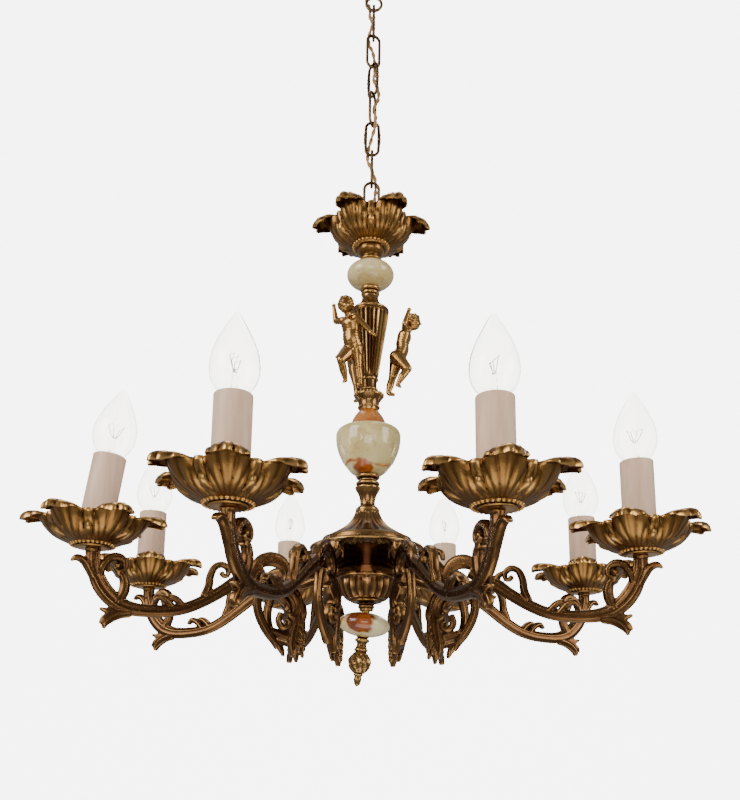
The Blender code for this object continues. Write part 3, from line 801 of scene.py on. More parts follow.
disc = lathe(stone_outline(23.5, 11, 55.5, 4.5), 64)
hang_askew(disc)
smooth(disc)
settle(disc, "turned_onyx_disc", "chandelier", "onyx", disc_onyx, "onyx_disc")
print("urn faces:", len(urn.data.polygons))

# %% [markdown]
# The brass between the stones is cast from turned patterns and then fluted. Each flute takes four
# columns of vertices, so a vase with 24 flutes has 96 of them, and only the middle ones are sunk.

# %% Fluted vase, collars and baluster
collar = lathe(bored(bead(7.6, 384.4, 2.2) + bead(7.2, 379.9, 1.9)), 48)
smooth(collar)
settle(collar, "beaded_ball_collar", "chandelier", "brass", column_brass, "ball_collar")

VASE_FLUTES = 24
vase_side = curve_through([(7.9, 377.1), (8.0, 374.5), (9.6, 370), (13.2, 365.6), (16.6, 363.2)], 3)
vase_side += bead(16.8, 361.2, 1.7, 80, -60, 5)
vase_side += curve_through([(17.6, 358.4), (18.0, 355), (15.4, 338), (11.6, 313), (8.6, 293.5)], 5)
vase_side += bead(7.4, 290.4, 1.5) + [(7.3, 287.5), (7.3, 282)] + bead(7.4, 279.8, 1.3)
vase = lathe(bored(vase_side), VASE_FLUTES * 4)
flute(vase, VASE_FLUTES, 0.13, 294, 357)
flute(vase, VASE_FLUTES // 2, 0.10, 366, 374.2)
smooth(vase, 30)
settle(vase, "fluted_brass_vase", "chandelier", "brass", column_brass, "fluted_vase")

ring_side = [(7.4, 277.2), (9.6, 276.6), (12.2, 275.6)] + bead(12.4, 273.6, 1.6, 60, -60, 5)
ring_side += curve_through([(12.0, 270.6), (10.4, 268.0), (9.8, 265), (9.2, 261.5), (8.6, 259.2)], 3)
ring = lathe(bored(ring_side), 64)
smooth(ring)
ring = join([ring, pearls(13.4, 274.6, 1.35, 26), pearls(9.9, 262.2, 0.9, 28)])
settle(ring, "pearled_figure_ring", "chandelier", "brass", column_brass, "figure_ring")

stem_side = bead(9.6, 193.6, 1.6) + bead(7.4, 190.2, 0.9) + bead(9.4, 187.0, 1.7)
stem_waist = [(9.8, 184.6), (11.6, 183.4), (11.2, 181), (8.4, 176), (7.0, 170), (6.9, 166.5)]
stem_side += curve_through(stem_waist, 3)
stem_side += curve_through([(7.2, 165.6), (9, 164.6), (10.8, 162.6), (11, 161.3)], 3)
stem = lathe(bored(stem_side), 56)
smooth(stem, 40)
settle(stem, "turned_baluster", "chandelier", "brass", column_brass, "baluster")
print("vase faces:", len(vase.data.polygons))

# %% [markdown]
# The body cover is a bell of thin fluted brass over the arms' feet, with a plain band and a wide
# brim. The hub under it is plain and dark. The bowl below is ribbed in broad rounded lobes and ends
# in a small flower that holds the disc's rod.

# %% Body cover, hub and bowl
COVER_FLUTES = 30
bell = [(11, 160.9), (12.0, 157.5), (15.2, 151.4), (21.4, 145), (30.0, 139.4), (39.0, 134.4)]
cover_rim = [(40.8, 133.6), (41.6, 132.2), (41.8, 129.0)]
cover_rim += curve_through([(43.0, 128.2), (46, 127.2), (50.8, 126.0)], 3)
cover_rim += bead(51.2, 124.9, 1.1, 80, -80, 5) + [(49.5, 123.9), (40.6, 126.2), (39.4, 131.4)]
cover_inner = curve_through([(37.6, 132.6), (28.6, 137.6), (19.4, 144), (12.6, 151.5)], 3)
cover = lathe(bored(curve_through(bell, 4) + cover_rim + cover_inner + [(11.0, 153)]), COVER_FLUTES * 4)
flute(cover, COVER_FLUTES, 0.06, 134.8, 158)
smooth(cover, 30)
settle(cover, "fluted_body_cover", "chandelier", "brass", column_brass, "body_cover")

hub_side = [(15.0, 128), (15.5, 127.4), (15.5, 107.6)] + bead(15.6, 106.2, 1.2, 60, -20, 4)
hub_side += [(20.1, 106.8), (20.5, 106.3), (20.5, 100.4), (20.1, 99.9)]
hub = lathe(bored(hub_side), 64)
smooth(hub)
settle(hub, "turned_arm_hub", "chandelier", "dark_brass", hub_brass, "arm_hub")

BOWL_LOBES = 20
bowl_side = [(23.5, 99.5)] + bead(24.2, 98.2, 1.2, 80, -80, 5)
bowl_side += curve_through([(24.4, 96.4), (24.6, 91), (22.9, 84.6), (19.4, 79.2), (15.4, 77.2)], 4)
bowl_side += bead(13.2, 76.8, 1.3, 60, -80, 5)
bowl_side += curve_through([(11.4, 75.6), (8.6, 75.2), (7.2, 73.4)], 3)
bowl_side += bead(6.4, 71.6, 1.2) + [(6.2, 68.2)]
bowl = lathe(bored(bowl_side), BOWL_LOBES * 4)
flute(bowl, BOWL_LOBES, 0.075, 78.5, 96.2)
flute(bowl, BOWL_LOBES // 2, 0.12, 74.5, 75.9)
smooth(bowl, 30)
settle(bowl, "ribbed_hub_bowl", "chandelier", "brass", arm_brass, "hub_bowl")
print("cover faces:", len(cover.data.polygons))

# %% [markdown]
# The finial is turned, with a bulb whose flutes wind a little round it, and it ends in a small
# twisted bud.

# %% Finial
FINIAL_FLUTES = 10
finial_side = [(0, 76), (3.8, 76), (3.8, 46.6)] + bead(4.4, 45.0, 1.5) + bead(5.0, 41.2, 1.6)
finial_side += curve_through([(4.6, 38.8), (4.3, 37), (5.2, 34.6)], 3) + bead(5.0, 32.6, 1.3)
bulb_side = [(5.0, 30.8), (7.4, 28.4), (10.2, 24.4), (10.5, 20.6), (8.8, 15.8), (5.0, 12)]
bud_side = [(3.0, 9.0), (3.5, 6.4), (2.9, 3.6), (2.0, 1.4), (0, 0)]
finial_side += curve_through(bulb_side, 4) + bead(3.4, 10.6, 1.0) + curve_through(bud_side, 4)
finial = lathe(finial_side, FINIAL_FLUTES * 4)
flute(finial, FINIAL_FLUTES, 0.16, 13.5, 28.6, 0.05)
flute(finial, FINIAL_FLUTES // 2, 0.2, 2.0, 8.0, 0.2)
hang_askew(finial)
smooth(finial, 32)
settle(finial, "fluted_finial", "chandelier", "brass", column_brass, "finial")
print("finial faces:", len(finial.data.polygons))

# %% [markdown]
# ## Leafy bowls
# The drip pans and the crown cup are deep bowls cast in six acanthus leaves. Each leaf has a raised
# middle rib with ridges that fan out from it, its tip curls out and droops, and between two leaves
# there is a small raised medallion. A lathe gives the plain bowl. The leaves follow waves round the
# bowl that no single operator draws, so each vertex is then moved by a formula: how far it is along
# the wall, and how far round from the middle of its leaf.

# %% The leaf formula
LEAVES = 6
LEAF_COLUMNS = 32
TIP_ROWS = 9
FLARE = 5.5
BOWL_WALL = 1.3


def leaf_place(angle, turn):
    """How far round from its leaf's middle a direction is: 0 there, 1 or -1 between two leaves."""
    wave = ((angle - turn) * LEAVES / math.tau + 0.5) % 1.0
    return 2 * wave - 1.0


def bump_at(value, middle, width):
    """A smooth bump of height 1 at its middle that dies away on both sides."""
    return math.exp(-(((value - middle) / width) ** 2))


def leafy_bowl(wall, tip_reach, tip_drop, relief, turn, medallion):
    """A bowl from its wall's outline, bottom to rim; the leaf tips go on from there.

    medallion is where along the wall the medallions are, how long they are and how high they stand.
    """
    wall_rows = len(wall)
    rim_radius, rim_height = wall[-1]
    rows = wall + [(rim_radius + step, rim_height) for step in range(1, TIP_ROWS + 1)]
    columns = LEAVES * LEAF_COLUMNS
    bowl = turn_sheet(rows, columns)
    for vertex in bowl.data.vertices:
        row, column = divmod(vertex.index, columns)
        angle = math.tau * column / columns
        across = leaf_place(angle, turn)
        along = min(1.0, row / (wall_rows - 1))
        radius, height = rows[row] if row < wall_rows else wall[-1]
        # The wall swells in each leaf, and its ridges fan out from the leaf's foot.
        leaf = max(0.0, 1 - (across / 0.72) ** 2)
        strength = min(1.0, along * 2.2)
        fan = abs(across) / (0.42 + 0.58 * along) - 0.10 * along
        ridge = abs(math.cos(math.pi * 2.3 * fan)) ** 0.8
        fine = abs(math.cos(math.pi * 6.9 * fan)) * 0.4
        crease = bump_at(abs(across), 0.80, 0.07)
        out = strength * relief * (1.1 * leaf + 1.0 * ridge + 0.45 * fine - 1.2 * crease)
        # The medallions stand between the leaves, with a groove on both sides.
        at, length, rise = medallion
        out += rise * bump_at(along, at, length) * bump_at(abs(across), 1.0, 0.15)
        out -= 0.9 * bump_at(along, at, length * 1.7) * bump_at(abs(across), 0.74, 0.07)
        out += FLARE * leaf * along**4
        if row >= wall_rows:
            # Past the rim the leaf's toothed tip reaches out, rises a little and droops.
            w = (row - wall_rows + 1) / TIP_ROWS
            tip = leaf**0.9
            teeth = 0.68 + 0.42 * abs(math.cos(math.pi * 3.4 * across))
            radius += (tip_reach * tip * teeth + 1.0) * math.sin(w * math.pi / 2) ** 0.9
            height += 1.3 * math.sin(w * math.pi) * tip - tip_drop * tip * w**1.8 + 2.2 * w * ridge * tip
        height += (3.2 * leaf - 0.8) * along**4
        radius += out
        vertex.co = (radius * math.cos(angle), radius * math.sin(angle), height)
    modify(bowl, "SOLIDIFY", thickness=BOWL_WALL, offset=-1)
    smooth(bowl, 60)
    return bowl


print("columns round a bowl:", LEAVES * LEAF_COLUMNS)

# %% [markdown]
# Each pan is made at the axis and moved out to its arm. Its foot is a turned collar with a ring of
# small pearls. The pans were screwed on as they came to hand, so their leaves don't all point the
# same way: each has a turn of its own, in degrees.

# %% Drip pans
PAN_TURNS = (15, 0, 30, 45, 10, 37, 30, 0)
pan_wall = [(16.6, 106.2), (19.5, 107.6), (25.2, 110.6), (30.4, 114.6), (34.2, 120.2), (36.4, 127.2)]
pan_wall = curve_through(pan_wall, 5)


def make_pan(turn):
    """A drip pan at the axis with its leaves turned."""
    shell = leafy_bowl(pan_wall, 11.5, 8.5, 1.25, turn, (0.5, 0.13, 2.2))
    foot_side = [(16.9, 107.6), (16.2, 105.6), (14.4, 104.4)] + bead(12.4, 103.4, 1.0, 60, -80, 5)
    foot_side += [(11.6, 102.3), (4.8, 102.3), (4.8, 106.4), (15.6, 106.9), (16.9, 107.6)]
    foot = lathe(foot_side, 56)
    smooth(foot)
    return join([shell, foot, pearls(16.6, 105.0, 1.7, 30)])


def at_candle(obj, number):
    """Move a piece that was made at the axis out to the candle of an arm."""
    only(obj)
    angle = arm_angle(number)
    obj.location = (CANDLE_RADIUS * math.cos(angle), CANDLE_RADIUS * math.sin(angle), 0)
    bpy.ops.object.transform_apply(location=True)


for number in range(1, ARM_COUNT + 1):
    pan = make_pan(math.radians(PAN_TURNS[number - 1]))
    at_candle(pan, number)
    settle(pan, f"leafy_drip_pan_{number}", "chandelier", "brass", golden_brass, f"drip_pan_{number}")
print("pan faces:", len(pan.data.polygons))

# %% [markdown]
# The crown cup is the same bowl, deeper, with longer tips that hang over. Its foot is a larger ring
# of pearls round a turned boss that rests on the onyx ball.

# %% Crown cup
cup_wall = [(16.0, 431.6), (21.5, 433.6), (28.2, 437.4), (33.0, 443.4), (35.2, 450), (35.8, 458)]
cup = leafy_bowl(curve_through(cup_wall, 6), 12.5, 11.0, 1.4, 0.0, (0.45, 0.14, 3.0))
foot_side = [(15.6, 433.4), (16.6, 431.2)] + bead(15.0, 429.4, 1.5, 60, -80, 5)
foot_side += curve_through([(13.4, 427.6), (12.6, 424), (9.4, 419.6), (9.2, 417.2)], 4)
foot_side += bead(9.6, 415.8, 1.3)
foot_side += [(5.4, 414.4), (5.4, 423.7), (11.4, 424.2), (12.8, 433.0), (15.6, 433.4)]
foot = lathe(foot_side, 56)
smooth(foot)
cup = join([cup, foot, pearls(17.0, 430.4, 1.8, 28)])
settle(cup, "leafy_crown_cup", "chandelier", "brass", golden_brass, "crown_cup")
print("cup faces:", len(cup.data.polygons))

# %% [markdown]
# ## The arms
# Each arm is one casting, made of ribbed bands that curl like a pen's flourishes. A bevelled curve
# would draw such a band, but it scales the thickness together with the width, so a band that tapers
# to a point would also get thin. So band() lays the cross-sections along a line itself: each is a
# flat oval with ridges along its sides. The bands are then fused with a voxel remesh, which rounds
# their joints as a casting's are, smoothed a little and thinned out.

# %% A ribbed band
SECTION_STEPS = 30
GROOVE = 1.0
THINNEST = 0.35


def tube(rings):
    """A closed mesh from rings of as many vertices each."""
    sides = len(rings[0])
    faces = []
    for low in range(0, sides * (len(rings) - 1), sides):
        for step in range(sides):
            after = (step + 1) % sides
            faces.append((low + step, low + after, low + sides + after, low + sides + step))
    faces.append(tuple(reversed(range(sides))))
    faces.append(tuple(range(sides * (len(rings) - 1), sides * len(rings))))
    mesh = bpy.data.meshes.new("tube")
    mesh.from_pydata([place for ring in rings for place in ring], [], faces)
    obj = bpy.data.objects.new("tube", mesh)
    bpy.context.collection.objects.link(obj)
    fix_normals(obj)
    return obj


def band(line, widths, depth, ridges):
    """A ribbed band in the plane of the arm: a line of (radius, height) and half widths along it."""
    points = [Vector((x, 0, z)) for x, z in curve_through(line, 5)]
    spread = [width for width, _ in curve_through([(width, 0) for width in widths], 5)]
    rings = []
    for index, point in enumerate(points):
        along = (points[min(index + 1, len(points) - 1)] - points[max(index - 1, 0)]).normalized()
        side = Vector((along.z, 0, -along.x))
        half = max(spread[index], THINNEST)
        thick = depth * min(1.0, 0.45 + half / 4)
        ring = []
        for step in range(SECTION_STEPS):
            angle = math.tau * step / SECTION_STEPS
            across = math.copysign(abs(math.cos(angle)) ** 0.85, math.cos(angle))
            out = math.copysign(abs(math.sin(angle)) ** 0.7, math.sin(angle))
            valley = 0.5 - 0.5 * math.cos(math.pi * ridges * (across + 1))
            out *= thick - GROOVE * valley * (abs(out) > 0.55) * min(1.0, half / 3)
            ring.append(point + side * half * across + Vector((0, out, 0)))
        rings.append(ring)
    return tube(rings)


def boss(radius, height, size, reach=4.8):
    """The round button at the middle of a scroll."""
    bpy.ops.object.select_all(action="DESELECT")
    place = (radius, 0, height)
    bpy.ops.mesh.primitive_uv_sphere_add(segments=16, ring_count=10, radius=size, location=place)
    obj = bpy.context.object
    obj.scale.y = reach / size
    bpy.ops.object.transform_apply(location=True, scale=True)
    return obj


print("vertices round a band:", SECTION_STEPS)

# %% [markdown]
# The bands of one arm run from the hub outwards. The foot and its knob are hidden under the cover's
# brim. Then come the arch of concentric ribs, the long sweep with its curl and low leaves, the elbow
# with its tail and spurs, and the riser with two scrolls and an outer leaf. A leaf hangs at the inner
# end.

# %% Bands of an arm


def arm_bands():
    """The bands, buttons and stem of one arm, which points along x."""
    foot = [(18, 111.5), (34, 110), (50, 107), (62, 102), (72, 96)]
    knob = [(61, 104), (61.5, 112), (65.5, 117.5), (71, 116.5), (72.5, 110)]
    arch = [(106, 88), (104.5, 97), (99, 104.5), (90, 107.4), (81.5, 105), (76.4, 98.5), (75.6, 91)]
    arch += [(79.5, 85), (86.5, 83), (91.5, 86)]
    sweep = [(97, 98), (107, 92), (120, 84.5), (132, 76), (146, 67), (160, 60), (174, 56.3), (189, 55)]
    sweep += [(203, 55.4), (214.5, 58.6), (223.5, 65), (230.5, 73.5), (235, 83), (237.6, 93)]
    sweep += [(238.4, 102.2)]
    sweep_widths = [5.5, 6.5, 6, 5.2, 5, 4.9, 5, 5.2, 5.6, 6.4, 6.8, 6.8, 6.2, 5.8, 6.2]
    curl = [(147, 70), (143.5, 79), (142.5, 88), (139, 96), (132.5, 98.6), (127.6, 95), (128, 89.5)]
    curl += [(132.4, 88.4)]
    tail = [(206, 53), (214, 51.3), (220.5, 47.8), (224.6, 43), (225.6, 38.6)]
    upper = [(232, 80), (229.5, 89), (224.5, 95.8), (217.6, 97), (212.6, 92.6), (213.4, 86.8)]
    upper += [(218.4, 85.4), (221, 88.6)]
    lower = [(217, 60), (212.6, 68), (211.8, 76), (214.6, 82.4), (219.4, 83.2)]
    leaf = [(236.5, 78), (240.5, 86), (245, 92), (250.5, 94), (254.6, 91.4)]
    return [
        band(foot, [11.5, 12, 13, 11, 7], 4.0, 5),
        band(knob, [3, 3, 3, 2.6, 1.6], 4.4, 2),
        band(arch, [4.4, 4.6, 5.8, 6.6, 6, 4.6, 4, 3.6, 2.8, 1.6], 4.6, 4),
        boss(91.5, 87.5, 3.0),
        band(sweep, sweep_widths, 4.3, 3),
        # The curl on the sweep, with its button and a short leaf beside it.
        band(curl, [3.4, 3.4, 3.2, 2.9, 2.6, 2.2, 1.8, 1.2], 4.4, 2),
        boss(132.6, 90.6, 2.2),
        band([(118, 88), (122, 93), (127, 96)], [3, 2.4, 1.2], 3.8, 2),
        # Two low leaves on the sweep.
        band([(163, 60), (169, 65.5), (174, 67.6), (178, 65)], [2.4, 2.8, 2.3, 1.2], 4.2, 2),
        band([(172, 59), (178, 65), (184, 67.2), (188.5, 63.5)], [2.4, 3.0, 2.5, 1.2], 4.2, 2),
        # The tail under the elbow and its two spurs.
        band(tail, [4.4, 4.4, 4.2, 3.0, 1.2], 4.0, 2),
        band([(219, 55), (224.5, 53), (230, 54.6)], [3, 2.3, 0.9], 3.6, 1),
        band([(222, 50), (226.5, 46.5), (229, 42.5)], [2.6, 2.2, 1.0], 3.6, 1),
        # The riser's upper scroll with its button, its lower scroll and its outer leaf.
        band(upper, [2.6, 3.2, 3.5, 3.4, 3.0, 2.5, 2.0, 1.3], 4.6, 3),
        boss(218.2, 90, 2.7, 4.6),
        band(lower, [3.6, 4.4, 4.2, 3.2, 1.5], 4.4, 3),
        band(leaf, [2.6, 3.4, 3.2, 2.6, 1.1], 4.2, 2),
        pan_stem(),
        *hanging_leaf(),
    ]


def pan_stem():
    """The turned end of the riser, which carries the pan."""
    stem = lathe([(0, 92), (4.4, 92), (4.4, 99.4), (5.6, 100.4), (5.6, 102), (0, 102)], 24)
    stem.data.transform(Matrix.Translation((CANDLE_RADIUS, 0, 0)))
    return stem


def hanging_leaf():
    """The drooping leaf at the arm's inner end: two prongs, a ribbed fan, a scroll and four teeth."""
    prong = [(97, 88), (100, 78), (101, 67), (98, 55.5), (91.6, 44.5), (85.6, 36.5), (82.6, 29.4)]
    fan = [(88, 84), (78.5, 83), (70, 77.6), (65.4, 69), (67.4, 60.6), (73.6, 58.6)]
    fold = [(84, 78), (80, 74), (75, 70), (74, 65.5), (77, 63.5)]
    scroll = [(79.6, 61), (81.4, 54), (78.2, 48.6), (73, 49.6), (72.6, 54), (75.8, 55.2)]
    inner = [(66, 63), (66.4, 52), (68, 42), (69.4, 33), (69.2, 23.4)]
    bands = [
        band(prong, [4.2, 4.4, 4.0, 3.8, 3.8, 3.0, 0.9], 3.9, 3),
        band(fan, [4.2, 6.2, 6.8, 6.0, 4.2, 2.0], 4.3, 5),
        band(fold, [2.6, 3.2, 3.2, 2.6, 1.3], 4.8, 2),
        band(scroll, [2.6, 2.8, 2.6, 2.4, 1.8, 1.1], 4.5, 2),
        band(inner, [5.0, 5.4, 4.8, 3.4, 1.0], 3.9, 3),
        band([(89, 45), (81, 42.6), (73, 40)], [3.6, 3.8, 3.6], 3.5, 2),
    ]
    for radius, height in ((61.6, 50), (62, 43.5), (62.6, 37.2), (63.8, 31.4)):
        tooth = [(radius + 4, height + 3), (radius, height), (radius - 1.2, height - 4)]
        bands.append(band(tooth, [2.2, 2.0, 0.9], 3.4, 1))
    return bands


casting = join(arm_bands())
melt(casting, 0.55, 0.5, 5, 0.26)
smooth(casting, 70)
print("arm faces:", len(casting.data.polygons))

# %% [markdown]
# ## Candles
# A nipple leads up from each arm through its pan into a black lampholder, hidden in the sleeve but
# for its rim. The lampholder of the leaning candle leans with it.

# %% Lampholders, sleeves and copies of the arm
LEAN_PIVOT = 114.3


def lean_candle(obj, number):
    """Lean a candle's piece towards the column where that candle leans, then take it to its arm."""
    only(obj)
    if number == LEANING_ARM:
        pivot = Matrix.Translation((0, 0, LEAN_PIVOT))
        obj.data.transform(pivot @ Matrix.Rotation(-CANDLE_LEAN, 4, "Y") @ pivot.inverted())
    turn = Matrix.Rotation(arm_angle(number), 4, "Z")
    obj.data.transform(turn @ Matrix.Translation((CANDLE_RADIUS, 0, 0)))


holder_side = [(0, 102.6), (4.2, 102.6), (4.2, 112.4), (9.6, 112.8), (10, 114), (10, 150)]
holder_side += [(11.2, 151), (11.2, 154), (10.2, 155), (10.2, 176.4)] + bead(10.2, 177.2, 1.2, 60, 10, 3)
holder_side += [(10.6, 178.5), (8.2, 178.5), (7.7, 177), (7.7, 153), (0, 153)]
sleeve_side = [(12.3, 181)] + bead(12.9, 180.4, 0.6, 90, 0, 3)
sleeve_side += [(13.5, 111), (13.2, 110.2), (12.3, 110.2), (12.3, 181)]
for number in range(1, ARM_COUNT + 1):
    arm = copy_of(casting)
    arm.data.transform(Matrix.Rotation(arm_angle(number), 4, "Z"))
    settle(arm, f"scrolled_arm_{number}", "chandelier", "brass", arm_brass, f"arm_{number}")

    holder = lathe(holder_side, 32)
    smooth(holder)
    lean_candle(holder, number)
    settle(holder, f"lampholder_{number}", "chandelier", "terminal", bakelite)

    sleeve = lathe(sleeve_side, 48)
    smooth(sleeve)
    lean_candle(sleeve, number)
    settle(sleeve, f"ivory_sleeve_{number}", "chandelier", "sleeve", ivory, f"candle_sleeve_{number}")
bpy.data.objects.remove(casting)
print("pieces so far:", len(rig.pieces()))

# %% [markdown]
# A candle bulb is blown clear glass, a flame drawn out to a tip, on a small screw cap. Its wall is
# 0.6 mm thick here. Inside, a pressed glass stem holds two steel wires and two supports, and the
# filament runs between them in a zigzag.

# %% Bulbs
GLASS_WALL = 0.6
THREAD_TURNS = 6
THREAD_PITCH = 2.4
WIRE_RADIUS = 0.30
FILAMENT_RADIUS = 0.22
flame = curve_through([(6.6, 179.2), (8.4, 181.4), (11.6, 184.6), (15.0, 189.4), (17.2, 196), (17.5, 203)], 4)
flame += curve_through([(17.5, 203), (16.2, 211), (12.6, 221), (8.2, 230), (4.6, 236.6), (2.4, 240.6)], 4)
flame += [(1.4, 242.2), (0, 242.9)]
stem_glass = [(0, 200), (1.6, 199.4), (2.0, 194), (2.6, 187), (4.6, 182), (6.0, 179.8)]
stem_glass = curve_through(stem_glass, 3) + [(0, 179.4)]
cap_side = [(0, 154), (4.2, 154), (4.6, 155.6), (6.4, 156.4)]
for turn in range(THREAD_TURNS):
    cap_side += bead(6.4, 158.4 + turn * THREAD_PITCH, 0.7, -80, 80, 4)
cap_side += [(6.5, 171.6), (6.9, 172.4), (7.05, 178.4), (6.4, 179.3), (0, 179.3)]


def wire(points, radius, rounds=1):
    """A thin wire through points, drawn as a curve with a round bevel and made a mesh."""
    curve = bpy.data.curves.new("wire", "CURVE")
    curve.dimensions = "3D"
    curve.bevel_depth = radius
    curve.bevel_resolution = rounds
    curve.use_fill_caps = True
    spline = curve.splines.new("POLY")
    spline.points.add(len(points) - 1)
    for target, point in zip(spline.points, points):
        target.co = (*point, 1.0)
    obj = bpy.data.objects.new("wire", curve)
    bpy.context.collection.objects.link(obj)
    only(obj)
    bpy.ops.object.convert(target="MESH")
    return bpy.context.object


def bulb_wires():
    """The zigzag filament, and the wires that rise from the glass stem to four of its corners."""
    tops = [(-6.5, 0.5, 209), (-3.2, -2.2, 206), (-1.0, 2.0, 210)]
    tops += [(1.6, -2.0, 206.4), (3.6, 2.0, 210), (6.5, -0.5, 208)]
    wires = []
    for x, y, z in (tops[0], tops[1], tops[3], tops[5]):
        wires.append(wire([(0.14 * x, 0.14 * y, 197.5), (0.5 * x, 0.5 * y, 201), (x, y, z)], WIRE_RADIUS))
    wires.append(wire(tops, FILAMENT_RADIUS))
    return join(wires)


for number in range(1, ARM_COUNT + 1):
    body = f"bulb_{number}"
    shell = lathe(flame, 48)
    modify(shell, "SOLIDIFY", thickness=GLASS_WALL, offset=-1)
    smooth(shell, 60)
    lean_candle(shell, number)
    settle(shell, f"bulb_glass_{number}", body, "bulb_glass", glass, body)
    for outline, name, slot, finish in (
        (stem_glass, "bulb_stem", "bulb_glass", glass),
        (cap_side, "bulb_cap", "brass", nickel),
    ):
        piece = lathe(outline, 28)
        smooth(piece)
        lean_candle(piece, number)
        settle(piece, f"{name}_{number}", body, slot, finish)
    wires = bulb_wires()
    lean_candle(wires, number)
    settle(wires, f"bulb_wires_{number}", body, "steel", wire_steel)
print("pieces:", len(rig.pieces()))

# %% [markdown]
# ## Three small figures
# The three figures came from one mould, so one is modelled and copied. Each stands on the ring with
# its back to the vase, leans out over one straight leg, bends the other, lifts one hand and lets the
# other rest on the air. A body is built as a sculptor builds it on wire: tapering limbs and round
# masses overlap, a voxel remesh melts them into one skin, and smoothing softens the creases.

# %% One figure
PLUMP = 1.5
CURLS = 70
HEAD = Vector((41.8, 0, 349.2))


def limb(start, end, first, last):
    """A tapering limb with round ends."""
    first, last = first * PLUMP, last * PLUMP
    start, end = Vector(start), Vector(end)
    count = max(2, int((end - start).length / (0.35 * min(first, last))) + 1)
    balls = []
    for step in range(count):
        t = step / (count - 1)
        balls.append(ball(start.lerp(end, t), first + (last - first) * t))
    return balls


def ball(place, radius, stretch=(1, 1, 1)):
    bpy.ops.object.select_all(action="DESELECT")
    bpy.ops.mesh.primitive_ico_sphere_add(subdivisions=2, radius=radius, location=place)
    obj = bpy.context.object
    obj.scale = stretch
    bpy.ops.object.transform_apply(location=True, scale=True)
    return obj


def limbs(*rows):
    """Several limbs, each from its start, end, first and last radius."""
    return [piece for row in rows for piece in limb(*row)]


def figure():
    """All the masses of one figure, which leans out along x."""
    # Standing leg: sole, shin, calf and thigh.
    parts = limbs(
        ((19.4, 2, 277.0), (23.4, 3.2, 276.8), 1.5, 1.2),
        ((18.4, 2, 278.4), (20.0, 2.2, 285.5), 1.7, 2.5),
        ((20.0, 2.2, 285.5), (22.6, 2.4, 295), 2.6, 2.5),
        ((22.6, 2.4, 295.5), (26.2, 2.6, 311), 2.9, 4.7),
        # Bent leg: thigh, calf, shin and the foot behind.
        ((27.4, -3.6, 311), (36.6, -7.4, 298.5), 4.7, 3.0),
        ((36.6, -7.4, 298.0), (31.6, -8.2, 290.4), 2.7, 2.6),
        ((31.6, -8.2, 290.4), (27.4, -8.4, 282.6), 2.5, 1.5),
        ((27.0, -8.4, 282.0), (30.0, -8.8, 279.6), 1.4, 1.0),
    )
    # Trunk: seat, belly, chest, shoulders and neck.
    parts += [ball((24.6, 3.6, 313.0), 5.8), ball((24.8, -3.8, 313.0), 5.8)]
    for step in range(9):
        t = step / 8
        middle = Vector((28.2, 0, 314.5)).lerp(Vector((33.4, 0, 334.5)), t)
        middle.x += 1.6 * math.sin(math.pi * min(1.0, t * 1.6))
        parts.append(ball(middle, 7.1 - 0.6 * math.sin(math.pi * t), (1, 1.3 + 0.12 * t, 1)))
    parts += [ball((36.6, 3.1, 334.0), 3.5, (1, 1.2, 1)), ball((36.6, -3.1, 334.2), 3.5, (1, 1.2, 1))]
    parts += limbs(
        ((34.4, -6.2, 337.6), (34.6, 6.2, 337.0), 2.7, 2.7),
        ((36.0, 0, 339.0), (39.0, 0, 344.5), 2.4, 2.3),
        # Raised arm with a loose fist.
        ((34.6, -7.4, 338.8), (34.0, -15.8, 340.6), 2.7, 2.0),
        ((34.0, -16.0, 340.8), (37.4, -16.0, 352.4), 2.0, 1.4),
    )
    parts += [ball((38.0, -16.0, 354.8), 2.2), ball((39.6, -15.4, 355.0), 1.1)]
    # Lowered arm with an open hand of three fingers.
    parts += limbs(
        ((34.6, 7.2, 338.0), (31.0, 14.0, 330.2), 2.7, 2.0),
        ((31.0, 14.0, 330.0), (28.4, 19.6, 322.6), 2.0, 1.3),
        ((28.4, 19.8, 322.2), (27.6, 21.8, 320.4), 1.5, 1.0),
    )
    for spread in (-0.9, 0.0, 0.9):
        parts += limb((27.8, 21.2, 320.8), (26.8 + spread, 23.6, 319.6 + spread), 0.6, 0.45)
    # Head, from its middle: skull twice, cheeks, chin, nose, mouth, brow and ears.
    for place, radius, stretch in (
        ((0, 0, 0), 7.4, (1.0, 0.93, 1.06)),
        ((0, 0, 1.6), 7.3, (1, 1, 1)),
        ((3.0, -2.6, -2.4), 3.4, (1, 1, 1)),
        ((3.0, 2.6, -2.4), 3.4, (1, 1, 1)),
        ((4.0, 0, -4.4), 2.2, (1, 1, 1)),
        ((7.5, 0, -1.2), 1.2, (1, 1, 1)),
        ((5.6, 0, -3.0), 1.2, (1, 1.5, 0.6)),
        ((5.0, 0, 1.4), 2.2, (1, 1.9, 0.6)),
        ((-0.4, -6.0, -0.8), 1.4, (1, 0.6, 1.3)),
        ((-0.4, 6.0, -0.8), 1.4, (1, 0.6, 1.3)),
    ):
        parts.append(ball(HEAD + Vector(place), radius, stretch))
    # A narrow drape of three folds across the hips, with a loose end.
    for fold in range(3):
        left = (32.6 - fold, -5.4, 316.8 - fold * 1.5)
        right = (31.4 - fold, 5.2, 314.8 - fold * 2.0)
        parts += limb(left, right, 1.3, 1.1)
    parts += limb((30.6, 5.4, 314.4), (26.4, 7.6, 305.6), 1.7, 0.9)
    return join(parts)


